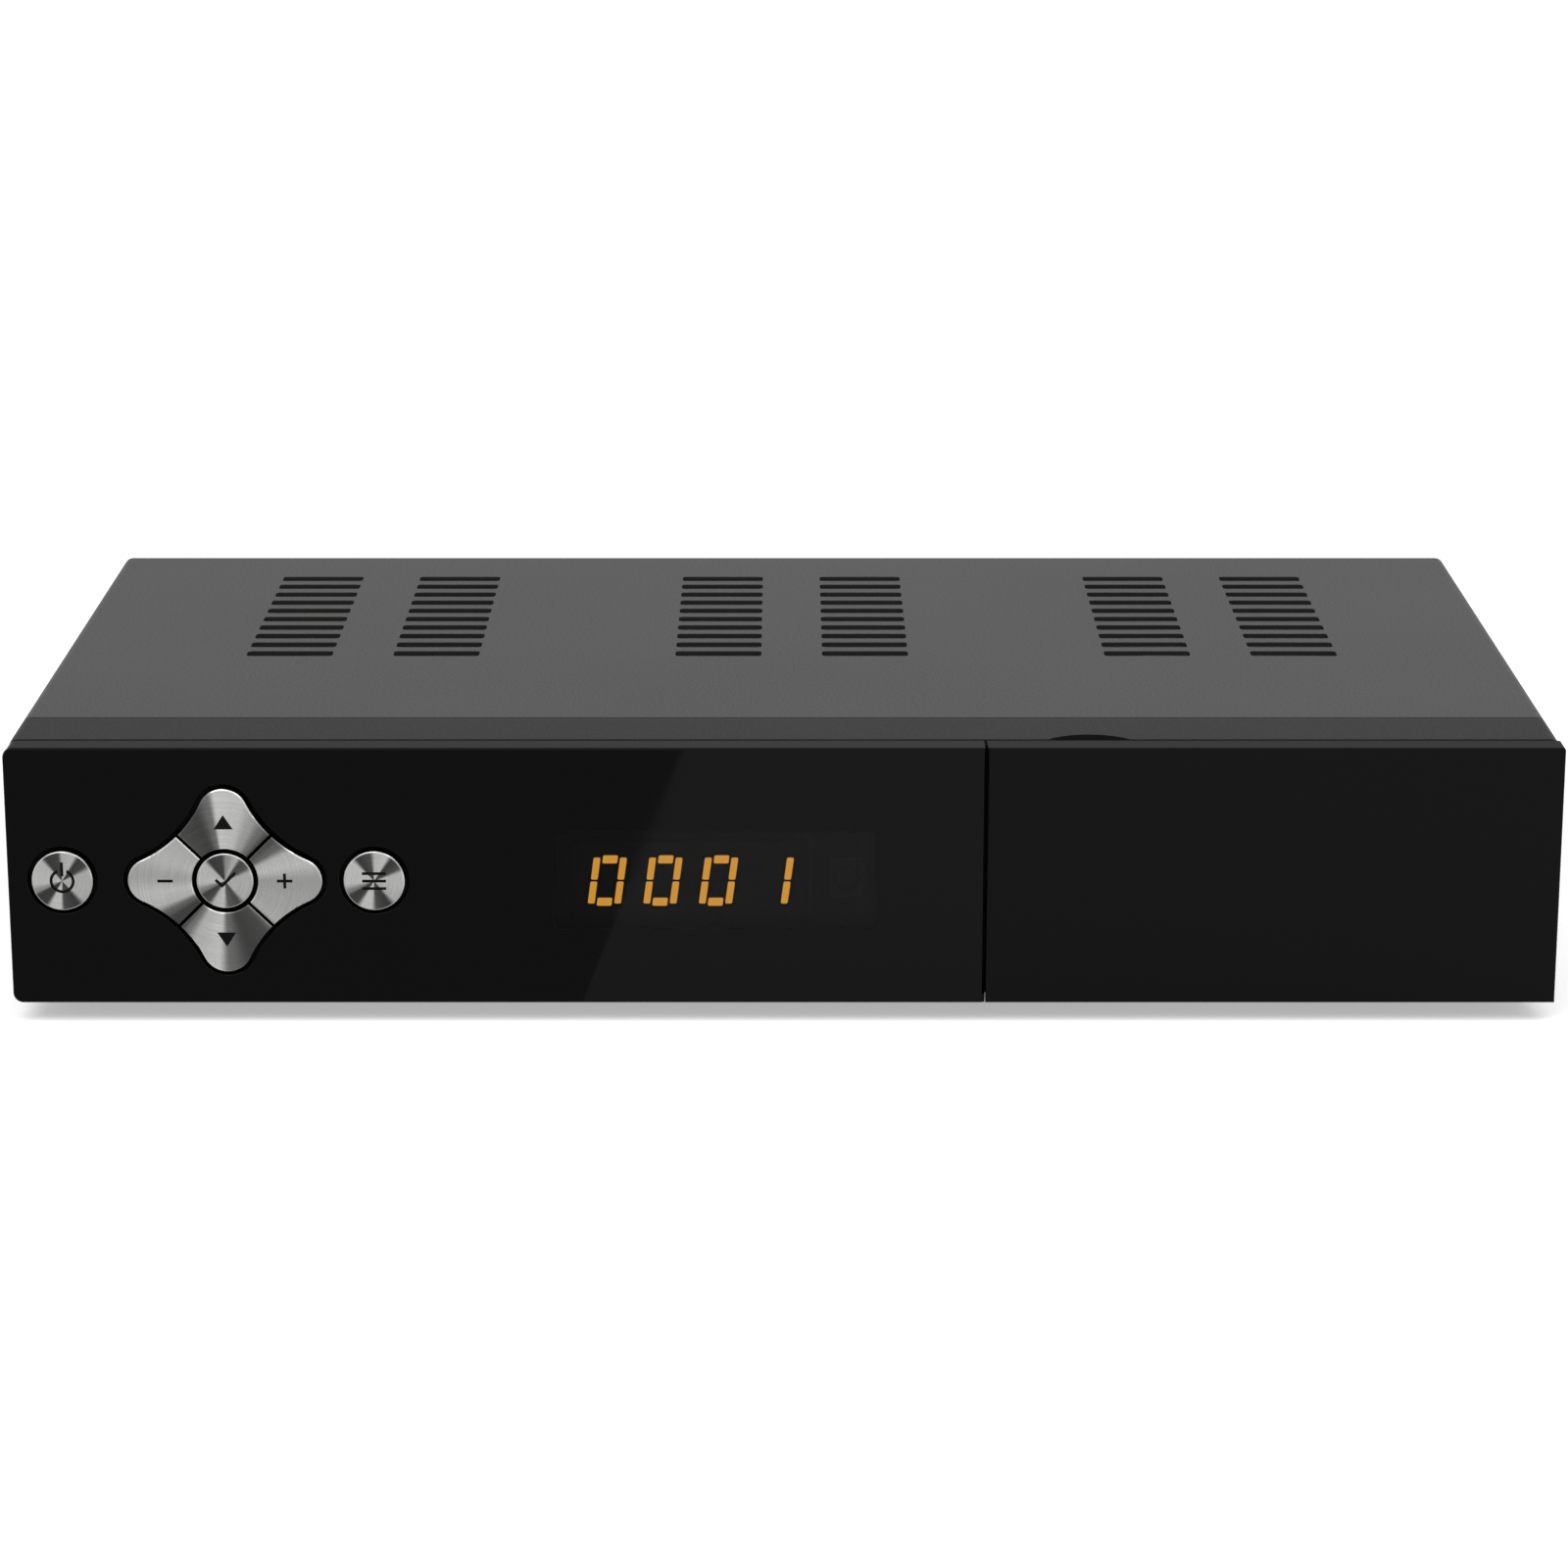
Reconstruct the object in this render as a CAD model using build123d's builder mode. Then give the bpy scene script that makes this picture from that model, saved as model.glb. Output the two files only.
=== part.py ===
from build123d import *
from math import radians, sqrt, tan
import os

os.makedirs("parts", exist_ok=True)

# Satellite TV receiver, in millimetres. +X is to the right seen from the front, +Y to the back, +Z up.
# The origin is on the floor, under the middle of the whole. Places are given as X, the depth behind
# the glossy front face and the height above the underside of the case.

# ---- Case ----
width = 260.0
case_height = 44.5
case_depth = 145.0
rear_reach = 11.5            # aerial connectors beyond the back of the case
foot_height = 3.5
foot_radius = 6.0
foot_chamfer = 0.6
foot_inset_x = 30.0          # foot centre to the side of the case
foot_inset_front = 28.0
foot_inset_back = 20.0
sheet = 0.8                  # steel of the cover
tray_sheet = 1.0             # steel of the tray and the rear panel
corner_radius = 1.7          # bends of the cover, and the left corners of the front
cover_edge = 0.5
relief = 1.0                 # notches where the cover's back flange is folded
flap_corner = 0.6
edge_gap = 0.3               # clearance between large shells
cutout_gap = 0.3             # clearance around parts that stand in an opening
running_fit = 0.05
seat_fit = 0.02

# ---- Front assembly, from the front face to the back ----
face_wall = 1.8              # glossy wall of the plate and the flap
plate_depth = 4.9            # with the rim around them
plate_rim = 1.6
glass_edge = 0.35            # rounding of the glossy edges
hole_edge = 0.25
groove = 0.8                 # shadow groove between the plate and the frame
ledge_width = 1.6            # ledge that the plate is seated on
frame_wall = 1.5
frame_rim = 2.0
frame_back = 20.0            # depth where the cover starts
tongue_length = 5.0          # frame tongue inside the cover
frame_screw_depth = 22.5
frame_boss_top = 8.0
parting_inset = 163.7        # parting line of plate and flap, from the left side of the case
parting_gap = 0.5
sill = (0.4, 0.5, 1.5)       # sill in the parting gap: width, depth behind the face, height

# ---- Cover vents: three pairs of groups, ten slots each ----
vent_length = 15.5
vent_width = 3.7
vent_corner = 0.8
vent_rows = 10
vent_pitch = 6.7
vent_front = 65.7            # depth of the front row
vent_shift = 1.4             # the middle pair lies this far right of the centre
vent_pair_pitch = 77.2
vent_pair_spacing = 26.4

# ---- Keys ----
key_proud = 0.5
key_travel = 0.5
key_edge = 0.3
key_gap = 0.65               # cap to the hole in the plate
key_drop = 0.65              # key row below the middle of the case
power_inset = 9.2            # key centres from the left side of the case
menu_inset = 61.4
round_radius = 5.15
flange_thickness = 1.0
flange_margin = 1.2          # flange beyond the cap
stem_radius = 2.0
stem_gap = 0.3
pad_inset = 36.44
pad_reach_x = 16.3
pad_reach_z = 15.95
pad_waist = 11.1             # from the centre to the outline along a diagonal
pad_lobe = 4.2               # radius of the upper and lower lobes
pad_split = 0.4              # gap between neighbouring pad keys
pad_stem_reach = 10.0
ok_radius = 4.8
ok_ring = 5.5               # round opening of the pad
ok_flange = 6.9
engraving = 0.2
stroke = 0.5                 # line width of the engraved marks

# Pad keys: name, the direction they point, and the steps to the right and up
pad_keys = (("channel_up_key", 90, 0, 1), ("channel_down_key", -90, 0, -1),
            ("volume_up_key", 0, 1, 0), ("volume_down_key", 180, -1, 0))

# ---- Front board, switches and display ----
pcb = 1.6
board_front = 12.0           # depth of the front board's front face
front_board_inset = 4.0      # its edges inside the case's left side and outer faces
front_board_end = 0.45       # its right edge to the plate's right edge
front_screw_inset = 4.5      # screws to the board's edges
front_screw_middle = 76.0    # middle pair of screws from the board's left edge
boss_radius = 2.5
small_screw = 0.95
switch_size = 6.0
switch_height = 3.5
plunger_radius = 1.75
plunger_gap = 0.05           # stem to plunger
plunger_root = 1.5           # part of the plunger inside its switch
display_inset = 114.3        # display centre from the left side
display_drop = 1.85          # display centre below the middle of the case
display_width = 40.0
display_height = 13.0
display_front = 3.9          # depth of its face
window_inset = 91.5          # window's left edge from the left side
window_size = (54.0, 17.0)
window_drop = 0.75
window_corner = 1.0
window_fit = 0.03
window_flange = 1.2
window_lip = 0.8             # thickness of the flange
digit_pitch = 9.36
digit_width = 5.6
digit_height = 8.8
digit_slant = 7.8
segment_width = 1.15
segment_gap = 0.4
segment_corner = 0.25
segment_depth = 0.2
sensor_inset = 140.5
sensor_size = (5.4, 7.0, 6.4)    # width, height and depth

# ---- Flap ----
flap_gap = 0.3               # flap to the frame behind it
flap_rim = 1.5
ear_radius = 1.4
ear_width = 4.0
ear_inset = 14.0             # ear centre to the end of the flap
hinge_rod_radius = 0.75
pocket_inset = 6.0           # pocket inside the flap's two ends
pocket_drop = 7.0            # pocket inside the case's top and bottom
pocket_depth = 17.0          # depth of the back of the pocket's rear wall
notch_inset = 17.15          # notch centre from the flap's left end
notch_chord = 15.0
notch_sagitta = 4.0
notch_depth = 5.0
magnet_radius = 2.0
magnet_insets = (38.05, 16.0)    # magnets from the flap's left and right ends
magnet_drop = 3.9            # below the top of the case
catch_radius = 2.5
catch_thickness = 1.0

# ---- Screws ----
screw_radius = 1.45
screw_hole = 1.5
screw_clearance = 1.75
screw_head = 2.75
screw_head_height = 1.7
screw_length = 5.0
cross_length = 3.2           # cross recess of the heads
cross_width = 0.7
rear_screw_inset = 18.0      # outer screws from the sides of the case
side_screw_front = 48.0
side_screw_back = 21.0       # rear pair from the back of the case
side_screw_height = 8.0
low_screw_row = 3.5

# ---- Tray and boards ----
back_flange = 10.0           # cover flange that the rear screws go through
tray_wall = 12.0             # side walls of the tray
tray_back_wall = 6.0
floor_vent_insets = (42.0, 95.0)     # from the left and the right side
floor_vent_depth = 80.0
floor_vent_rows = 6
floor_vent_pitch = 8.0
floor_vent_length = 40.0
floor_vent_width = 3.0
standoff = 6.0
standoff_radius = 3.0
board_side = 8.0             # boards from the sides of the case
board_spacing = 7.0          # between the two boards
main_board_front = 28.0
main_board_back = 4.0        # its back edge from the back of the case
psu_board_width = 69.0
psu_board_front = 44.0
psu_board_back = 27.0
screw_inset = 4.5            # board screws to the edges of their board
main_screw_inner = 92.0      # other screws of the main board, from its right edge
main_screw_rear = 60.0
main_screw_front = 44.0      # and their depths
main_screw_right = 76.0
main_screw_back = 23.5       # from its back edge

# ---- Parts on the main board ----
# Chips: from the board's right edge, depth, width, length and height
chips = ((94.0, 70.0, 27.0, 27.0, 1.6), (124.0, 62.0, 9.0, 14.0, 1.2), (124.0, 80.0, 9.0, 14.0, 1.2),
         (26.0, 77.0, 14.0, 14.0, 1.4), (142.0, 100.0, 14.0, 10.0, 2.0), (74.0, 105.0, 10.0, 10.0, 1.4))
# Capacitors: from the board's left edge or from its right edge, depth, radius and height
left_capacitors = ((17.0, 49.0, 4.0, 11.0), (28.0, 49.0, 3.15, 8.0))
right_capacitors = ((12.0, 85.0, 4.0, 11.0), (40.0, 80.0, 4.0, 11.0), (64.0, 84.0, 3.15, 8.0))
sink_size = 35.0
sink_base = 3.0
sink_height = 14.0
sink_fin = 1.2
sink_fins = 9
card_reader_inset = 40.0     # its centre from the right side of the case
card_reader_size = (60.0, 50.0, 5.6)
card_slot = (55.0, 1.6)
usb_inset = 8.5              # its centre from the pocket's left end
usb_size = (13.2, 16.0, 5.8)
usb_wall = 0.4
usb_tongue = (11.0, 1.8)
ribbon = (20.0, 0.9)         # width and thickness
ribbon_inset = 25.45         # its centre from the plate's right edge
ribbon_lift = 13.4           # its run above the main board
ribbon_depth = 33.0
ribbon_bend = 5.0
ribbon_header = (24.0, 5.0, 5.0)

# ---- Power supply ----
# Places are from the supply board's left edge, then the depth
transformer_inset = 42.0
transformer_depth = 78.0
transformer_core = (28.0, 24.0, 22.0)
core_leg = 4.0
psu_capacitor_list = ((14.0, 72.0, 9.0, 25.0), (61.0, 78.0, 4.0, 16.0), (61.0, 89.0, 4.0, 16.0))
choke_inset = 20.0
choke_back = 16.0            # from the supply board's back edge
choke_size = (14.0, 12.0)
choke_base = 1.5
choke_ring = 7.0
psu_sink_inset = 38.0
psu_sink_depth = 52.0
psu_sink_size = (40.0, 2.0, 22.0)
psu_sink_fins = 8
psu_sink_fin_reach = 6.0
fuse_inset = 39.0
fuse_back = 4.5              # from the supply board's back edge
fuse_length = 15.0
fuse_radius = 2.6
fuse_lift = 4.0              # axis of the fuse above its board
psu_header_inset = 5.0       # from the supply board's right edge
main_header_inset = 8.0      # from the main board's left edge
power_header = (5.0, 14.0, 6.0)
cable_depth = 60.0
cable_lift = 13.4            # its run above the boards
cable_wires = 5
cable_pitch = 2.5
cable_radius = 0.8
cable_bend = 3.0
lead_header = (6.0, 6.0, 5.0)
lead_drop = 10.0             # where the leads go down, before the tags' ends
lead_reach = 6.0             # where they turn aside
lead_radius = 1.1
lead_bend = 3.0
blade = (4.0, 0.8)           # solder tags of the inlet and the switch
blade_back = 22.2            # ends of the tags before the rear face
blade_pitch = 9.0

# ---- Back ----
lnb_insets = (48.0, 22.0)    # from the right side of the case
lnb_radius = 4.76            # 3/8 inch thread
lnb_neck = 4.6
lnb_nut_size = 11.0          # across flats
lnb_nut_height = 2.0
thread_relief = 0.2          # neck beyond the nut
lnb_bore = 3.3
lnb_recess = 1.0
lnb_pin_hole = 0.6
mouth_chamfer = 0.5
tuner_height = 15.0
tuner_depth = 37.0
tuner_margin = 12.0          # can beyond the connectors' axes
hdmi_inset = 69.0
hdmi_size = (15.2, 12.0, 6.2)
hdmi_tongue = (10.0, 1.6)
shell_wall = 0.6
shell_lip = 0.5
phono_inset = 97.0
phono_lift = 9.0             # sleeve axes above the board
phono_stand = 0.4            # neck beyond the rear face
phono_pitch = 12.0
phono_radius = 4.15
phono_neck = 4.4
phono_bore = 3.2
phono_recess = 1.0
phono_pin_hole = 1.6
phono_reach = 8.0
phono_body = (38.0, 11.0, 14.0)
scart_inset = 147.0
scart_size = (48.0, 20.0, 15.5)
scart_groove = 1.2
scart_recess = 9.0
scart_pitch = 3.8
scart_contact = (1.3, 3.2)
inlet_inset = 24.0           # from the left side of the case
mains_drop = 22.5            # inlet and switch below the top of the case
inlet_lobe = 4.35            # mains inlet: two round lobes
inlet_pin_pitch = 8.6
inlet_pin_radius = 1.2
inlet_recess = 10.0
inlet_body = (22.0, 16.0, 14.0)
inlet_flange = 1.6
switch_inset = 54.0
switch_body_width = 12.6
switch_body_height = 18.6
switch_body_depth = 14.0
rocker_radius = 8.2          # end faces of the rocker, about its pivot
rocker_width = 10.0
rocker_tilt = 12.0
rocker_valley = 2.8          # from the pivot to the valley between the two faces
rocker_pivot_radius = 1.2
rocker_gudgeon = 0.4         # pivot ends short of the outer sides of the body
rocker_bezel = 1.6
rocker_sink = 0.2            # pivot below the rear face
back_vent_inset = 90.0       # from the left side of the case
back_vent_drop = 14.5        # below the top of the case
back_vent_count = 7
back_vent_pitch = 5.0
back_vent_length = 8.0
back_vent_width = 2.2

# ---- Worked-out sizes ----
half_width = width / 2
front_y = key_proud - (key_proud + case_depth + rear_reach) / 2
frame_front = plate_depth + groove
wall_back = frame_front + frame_wall
cover_front = frame_back + edge_gap
tongue_back = frame_back + tongue_length
rear_face = case_depth - sheet               # outer face of the rear panel
panel_front = rear_face - tray_sheet         # its inner face
panel_half = half_width - sheet - edge_gap
tongue_inset = tray_sheet + running_fit
tray_half = half_width - sheet - edge_gap
rear_screw_x = (rear_screw_inset - half_width, 0.0, half_width - rear_screw_inset)
side_screw_depths = (side_screw_front, case_depth - side_screw_back)
floor_vent_x = (floor_vent_insets[0] - half_width, half_width - floor_vent_insets[1])

# Front
parting_x = parting_inset - half_width
plate_right = parting_x - parting_gap / 2
flap_left = parting_x + parting_gap / 2
flange_front = face_wall + edge_gap          # key flanges start here
ok_flange_front = flange_front + flange_thickness + key_travel + edge_gap
switch_front = board_front - switch_height
plunger_tip = switch_front - 2 * key_travel
stem_end = plunger_tip - plunger_gap
key_row = case_height / 2 - key_drop
power_x = power_inset - half_width
menu_x = menu_inset - half_width
pad_x = pad_inset - half_width
stems = {"power_key": (power_x, key_row), "menu_key": (menu_x, key_row), "ok_key": (pad_x, key_row)}
for label, angle, x_step, z_step in pad_keys:
    stems[label] = (pad_x + x_step * pad_stem_reach, key_row + z_step * pad_stem_reach)
front_board_x = (front_board_inset - half_width, plate_right - front_board_end)
front_board_row = (front_board_inset, case_height - front_board_inset)
front_screws = []
for x in (front_board_x[0] + front_screw_inset, front_board_x[0] + front_screw_middle,
          front_board_x[1] - front_screw_inset):
    for height in (front_board_row[0] + front_screw_inset, front_board_row[1] - front_screw_inset):
        front_screws.append((x, height))
display_x = display_inset - half_width
display_row = case_height / 2 - display_drop
sensor_x = sensor_inset - half_width
window_x = (window_inset - half_width, window_inset - half_width + window_size[0])
window_middle = case_height / 2 - window_drop
window_row = (window_middle - window_size[1] / 2, window_middle + window_size[1] / 2)
hinge_depth = plate_depth / 2                # the flap's lower edge is round about its hinge
hinge_row = hinge_depth
ear_x = (flap_left + ear_inset, half_width - ear_inset)
pocket_x = (flap_left + pocket_inset, half_width - pocket_inset)
pocket_row = (pocket_drop, case_height - pocket_drop)
notch_x = flap_left + notch_inset
magnet_x = (flap_left + magnet_insets[0], half_width - magnet_insets[1])
magnet_row = case_height - magnet_drop

# Boards
board_low = tray_sheet + standoff
board_top = board_low + pcb
psu_board_x = (board_side - half_width, board_side - half_width + psu_board_width)
psu_board_depth = (psu_board_front, case_depth - psu_board_back)
psu_screws = [(x, depth) for x in (psu_board_x[0] + screw_inset, psu_board_x[1] - screw_inset)
              for depth in (psu_board_depth[0] + screw_inset, psu_board_depth[1] - screw_inset)]
main_board_x = (psu_board_x[1] + board_spacing, half_width - board_side)
main_board_depth = (main_board_front, case_depth - main_board_back)
main_screws = [(main_board_x[0] + screw_inset, main_board_depth[0] + screw_inset),
               (main_board_x[1] - main_screw_inner, main_screw_front),
               (main_board_x[1] - screw_inset, main_screw_right),
               (main_board_x[0] + screw_inset, main_board_depth[1] - main_screw_back),
               (main_board_x[1] - main_screw_rear, main_board_depth[1] - main_screw_back)]
transformer_x = psu_board_x[0] + transformer_inset
choke_x = psu_board_x[0] + choke_inset
choke_depth = psu_board_depth[1] - choke_back
psu_sink_x = psu_board_x[0] + psu_sink_inset
fuse_x = psu_board_x[0] + fuse_inset
fuse_depth = psu_board_depth[1] - fuse_back
fuse_row = board_top + fuse_lift
psu_header_x = psu_board_x[1] - psu_header_inset
main_header_x = main_board_x[0] + main_header_inset
cable_row = board_top + cable_lift
ribbon_x = plate_right - ribbon_inset
ribbon_row = board_top + ribbon_lift
card_reader_x = half_width - card_reader_inset
card_reader_front = pocket_depth + edge_gap
card_row = board_top + card_reader_size[2] / 2
usb_x = pocket_x[0] + usb_inset
usb_front = pocket_depth + edge_gap
usb_row = board_top + usb_size[2] / 2

# Back
lnb_x = [half_width - inset_x for inset_x in lnb_insets]
lnb_row = board_top + tuner_height / 2
lnb_thread_start = rear_face + lnb_nut_height + thread_relief
phono_x = half_width - phono_inset
phono_at = [phono_x + step * phono_pitch for step in (-1, 0, 1)]
phono_row = board_top + phono_lift
phono_neck_end = rear_face + phono_stand
phono_end = phono_neck_end + phono_reach
hdmi_x = half_width - hdmi_inset
hdmi_row = (board_top, board_top + hdmi_size[2])
scart_x = half_width - scart_inset
scart_row = (board_top, board_top + scart_size[2])
inlet_x = inlet_inset - half_width
inlet_row = case_height - mains_drop
switch_x = switch_inset - half_width
switch_row = inlet_row
rocker_axis_depth = rear_face - rocker_sink
blade_end = rear_face - blade_back
lead_depth = blade_end - lead_drop
lead_turn = blade_end - lead_reach
back_vent_x = back_vent_inset - half_width
back_vent_row = case_height - back_vent_drop


# ---- Helpers ----
def y_at(depth):
    return front_y + depth


def z_at(height):
    return foot_height + height


def at(x, depth, height):
    """A point from its X, depth and height."""
    return (x, y_at(depth), z_at(height))


def facing(depth, x=0.0, height=0.0):
    """A sketch plane seen from the front: its x to the right, its y up, its normal to the front."""
    return Plane(origin=at(x, depth, height), x_dir=(1, 0, 0), z_dir=(0, -1, 0))


def lying(height, x=0.0, depth=0.0):
    """A sketch plane seen from above: its x to the right, its y to the back."""
    return Plane(origin=at(x, depth, height), x_dir=(1, 0, 0), z_dir=(0, 0, 1))


def around(middle, size):
    """The (low, high) pair of a size about its middle."""
    return (middle - size / 2, middle + size / 2)


def inset(pair, amount):
    """A (low, high) pair taken in at both ends."""
    return (pair[0] + amount, pair[1] - amount)


def centre_of(x, depth, height):
    return at(sum(x) / 2, sum(depth) / 2, sum(height) / 2)


def block(x, depth, height, mode=Mode.ADD):
    """A box between (low, high) pairs."""
    with Locations(centre_of(x, depth, height)):
        Box(x[1] - x[0], depth[1] - depth[0], height[1] - height[0], mode=mode)


def rod(x, depth, height, radius, mode=Mode.ADD):
    """A round rod along the depth."""
    with Locations(centre_of((x, x), depth, (height, height))):
        Cylinder(radius, depth[1] - depth[0], rotation=(90, 0, 0), mode=mode)


def post(x, depth, height, radius, mode=Mode.ADD):
    """A round post along the height."""
    with Locations(centre_of((x, x), (depth, depth), height)):
        Cylinder(radius, height[1] - height[0], mode=mode)


def axle(x, depth, height, radius, mode=Mode.ADD):
    """A round axle along X."""
    with Locations(centre_of(x, (depth, depth), (height, height))):
        Cylinder(radius, x[1] - x[0], rotation=(0, 90, 0), mode=mode)


def outline(plane, x, height, radii=(0, 0, 0, 0)):
    """A rectangle between two X and two heights. Its radii run clockwise from the upper left."""
    corners = [(x[0], height[1]), (x[1], height[1]), (x[1], height[0]), (x[0], height[0])]
    with BuildSketch(plane) as face:
        with BuildLine():
            Polyline(*corners, close=True)
        make_face()
        for corner, radius in zip(corners, radii):
            if radius > 0:
                fillet(face.vertices().sort_by_distance((*corner, 0))[0], radius)
    return face.sketch


def pad_shape(plane, growth=0.0):
    """The pad's outline: four round lobes joined by hollow flanks that cross the diagonals."""
    lobe_z = pad_reach_z - pad_lobe
    inner = pad_waist - pad_lobe
    flank_at = (lobe_z**2 - inner**2) / (2 * (lobe_z - sqrt(2) * inner))
    flank = sqrt(2) * flank_at - pad_waist
    reach = flank_at - pad_reach_x
    side_lobe = (flank_at**2 + reach**2 - flank**2) / (2 * (flank - reach))
    lobe_x = pad_reach_x - side_lobe
    upper = Vector(0, lobe_z) + Vector(flank_at, flank_at - lobe_z).normalized() * pad_lobe
    side = Vector(lobe_x, 0) + Vector(flank_at - lobe_x, flank_at).normalized() * side_lobe
    waist = Vector(pad_waist, pad_waist) / sqrt(2)
    with BuildSketch(plane) as face:
        with BuildLine():
            for right in (1, -1):
                for up in (1, -1):
                    ThreePointArc((right * upper.X, up * upper.Y), (right * waist.X, up * waist.Y),
                                  (right * side.X, up * side.Y))
            for sign in (1, -1):
                ThreePointArc((-upper.X, sign * upper.Y), (0, sign * pad_reach_z),
                              (upper.X, sign * upper.Y))
                ThreePointArc((sign * side.X, -side.Y), (sign * pad_reach_x, 0),
                              (sign * side.X, side.Y))
        make_face()
        if growth:
            offset(amount=growth)
    return face.sketch


def petal_shape(plane, angle, growth=0.0):
    """One key of the pad: the quarter of its outline about an angle, less the round opening."""
    reach = pad_reach_x + pad_reach_z
    tip = pad_split / sqrt(2)
    with BuildSketch(plane) as face:
        add(pad_shape(Plane.XY, growth))
        Polygon((tip, 0), (tip + reach, -reach), (tip + reach, reach), rotation=angle, align=None,
                mode=Mode.INTERSECT)
        Circle(ok_ring, mode=Mode.SUBTRACT)
    return face.sketch


def disc(plane, radius):
    with BuildSketch(plane) as face:
        Circle(radius)
    return face.sketch


def slot(plane, length, breadth):
    with BuildSketch(plane) as face:
        SlotOverall(length, breadth)
    return face.sketch


# ---- Marks engraved in the key caps ----
def power_mark(plane):
    """An open ring with a bar in its gap."""
    ring = 4.2 * stroke
    with BuildSketch(plane) as mark:
        Circle(ring)
        Circle(ring - stroke, mode=Mode.SUBTRACT)
        with Locations((0, ring)):
            Rectangle(3 * stroke, 2 * ring, mode=Mode.SUBTRACT)
            Rectangle(stroke, 1.2 * ring)
    return mark.sketch


def menu_mark(plane):
    """Three bars."""
    with BuildSketch(plane) as mark:
        with GridLocations(1, 2.6 * stroke, 1, 3):
            Rectangle(8 * stroke, stroke)
    return mark.sketch


def ok_mark(plane):
    """A tick."""
    with BuildSketch(plane) as mark:
        with Locations(Location((-stroke, -2.4 * stroke, 0), 45)):
            Rectangle(7 * stroke, stroke, align=(Align.MIN, Align.MIN))
            Rectangle(stroke, 3.5 * stroke, align=(Align.MIN, Align.MIN))
    return mark.sketch


def arrow_mark(plane, angle):
    """A solid triangle that points along an angle."""
    with BuildSketch(plane) as mark:
        Polygon((1.5, 0), (-1.0, 1.6), (-1.0, -1.6), rotation=angle, align=None)
    return mark.sketch


def sign_mark(plane, plus):
    """A plus or a minus sign."""
    with BuildSketch(plane) as mark:
        Rectangle(5.2 * stroke, stroke)
        if plus:
            Rectangle(stroke, 5.2 * stroke)
    return mark.sketch


# ---- Sheet-metal case ----
with BuildPart() as top_cover:
    extrude(outline(facing(case_depth), (-half_width, half_width), (edge_gap, case_height),
                    (corner_radius, corner_radius, 0, 0)), amount=case_depth - cover_front)
    fillet(top_cover.faces().sort_by(Axis.Y)[-1].edges().sort_by(Axis.Z)[-1], radius=cover_edge)
    inner_radius = corner_radius - sheet
    extrude(outline(facing(rear_face), (-half_width + sheet, half_width - sheet),
                    (0, case_height - sheet), (inner_radius, inner_radius, 0, 0)),
            amount=rear_face - cover_front, mode=Mode.SUBTRACT)
    inner_half = half_width - sheet
    flange_low = case_height - back_flange
    block((-inner_half, inner_half), (rear_face, case_depth), (0, flange_low), mode=Mode.SUBTRACT)
    for side in (-1, 1):
        relief_x = side * (inner_half - relief / 2)
        block(around(relief_x, relief), (rear_face, case_depth), (flange_low, case_height - 2 * sheet),
              mode=Mode.SUBTRACT)
    with BuildSketch(lying(case_height, vent_shift, vent_front + vent_pitch * (vent_rows - 1) / 2)):
        with GridLocations(vent_pair_pitch, 1, 3, 1):
            with GridLocations(vent_pair_spacing, vent_pitch, 2, vent_rows):
                RectangleRounded(vent_length, vent_width, vent_corner)
    extrude(amount=-2 * sheet, mode=Mode.SUBTRACT)
    for x in rear_screw_x:
        rod(x, (rear_face, case_depth), case_height - back_flange / 2, screw_clearance,
            mode=Mode.SUBTRACT)
    for side in (-1, 1):
        for depth in side_screw_depths:
            with Locations((side * (half_width - sheet / 2), y_at(depth), z_at(side_screw_height))):
                Cone(screw_head + running_fit - sheet, screw_head + running_fit, sheet,
                     rotation=(0, side * 90, 0), mode=Mode.SUBTRACT)

with BuildPart() as base_tray:
    block((-tray_half, tray_half), (cover_front, panel_front), (0, tray_sheet))
    for side in (-1, 1):
        wall_x = side * (tray_half - tray_sheet / 2)
        block(around(wall_x, tray_sheet), (tongue_back + edge_gap, panel_front), (0, tray_wall))
    block((-tray_half, tray_half), (panel_front - tray_sheet, panel_front), (0, tray_back_wall))
    for x, depth in main_screws + psu_screws:
        post(x, depth, (tray_sheet, board_low), standoff_radius)
        post(x, depth, (tray_sheet, board_low), screw_hole, mode=Mode.SUBTRACT)
    for side in (-1, 1):
        for depth in side_screw_depths:
            axle(around(side * tray_half, 4 * tray_sheet), depth, side_screw_height, screw_hole,
                 mode=Mode.SUBTRACT)
    for x in rear_screw_x:
        rod(x, (panel_front - tray_sheet, panel_front), low_screw_row, screw_hole, mode=Mode.SUBTRACT)
        post(x, frame_screw_depth, (0, tray_sheet), screw_clearance, mode=Mode.SUBTRACT)
    for vent_x in floor_vent_x:
        with BuildSketch(lying(0, vent_x, floor_vent_depth)):
            with GridLocations(1, floor_vent_pitch, 1, floor_vent_rows):
                SlotOverall(floor_vent_length, floor_vent_width)
        extrude(amount=tray_sheet, mode=Mode.SUBTRACT)

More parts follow.
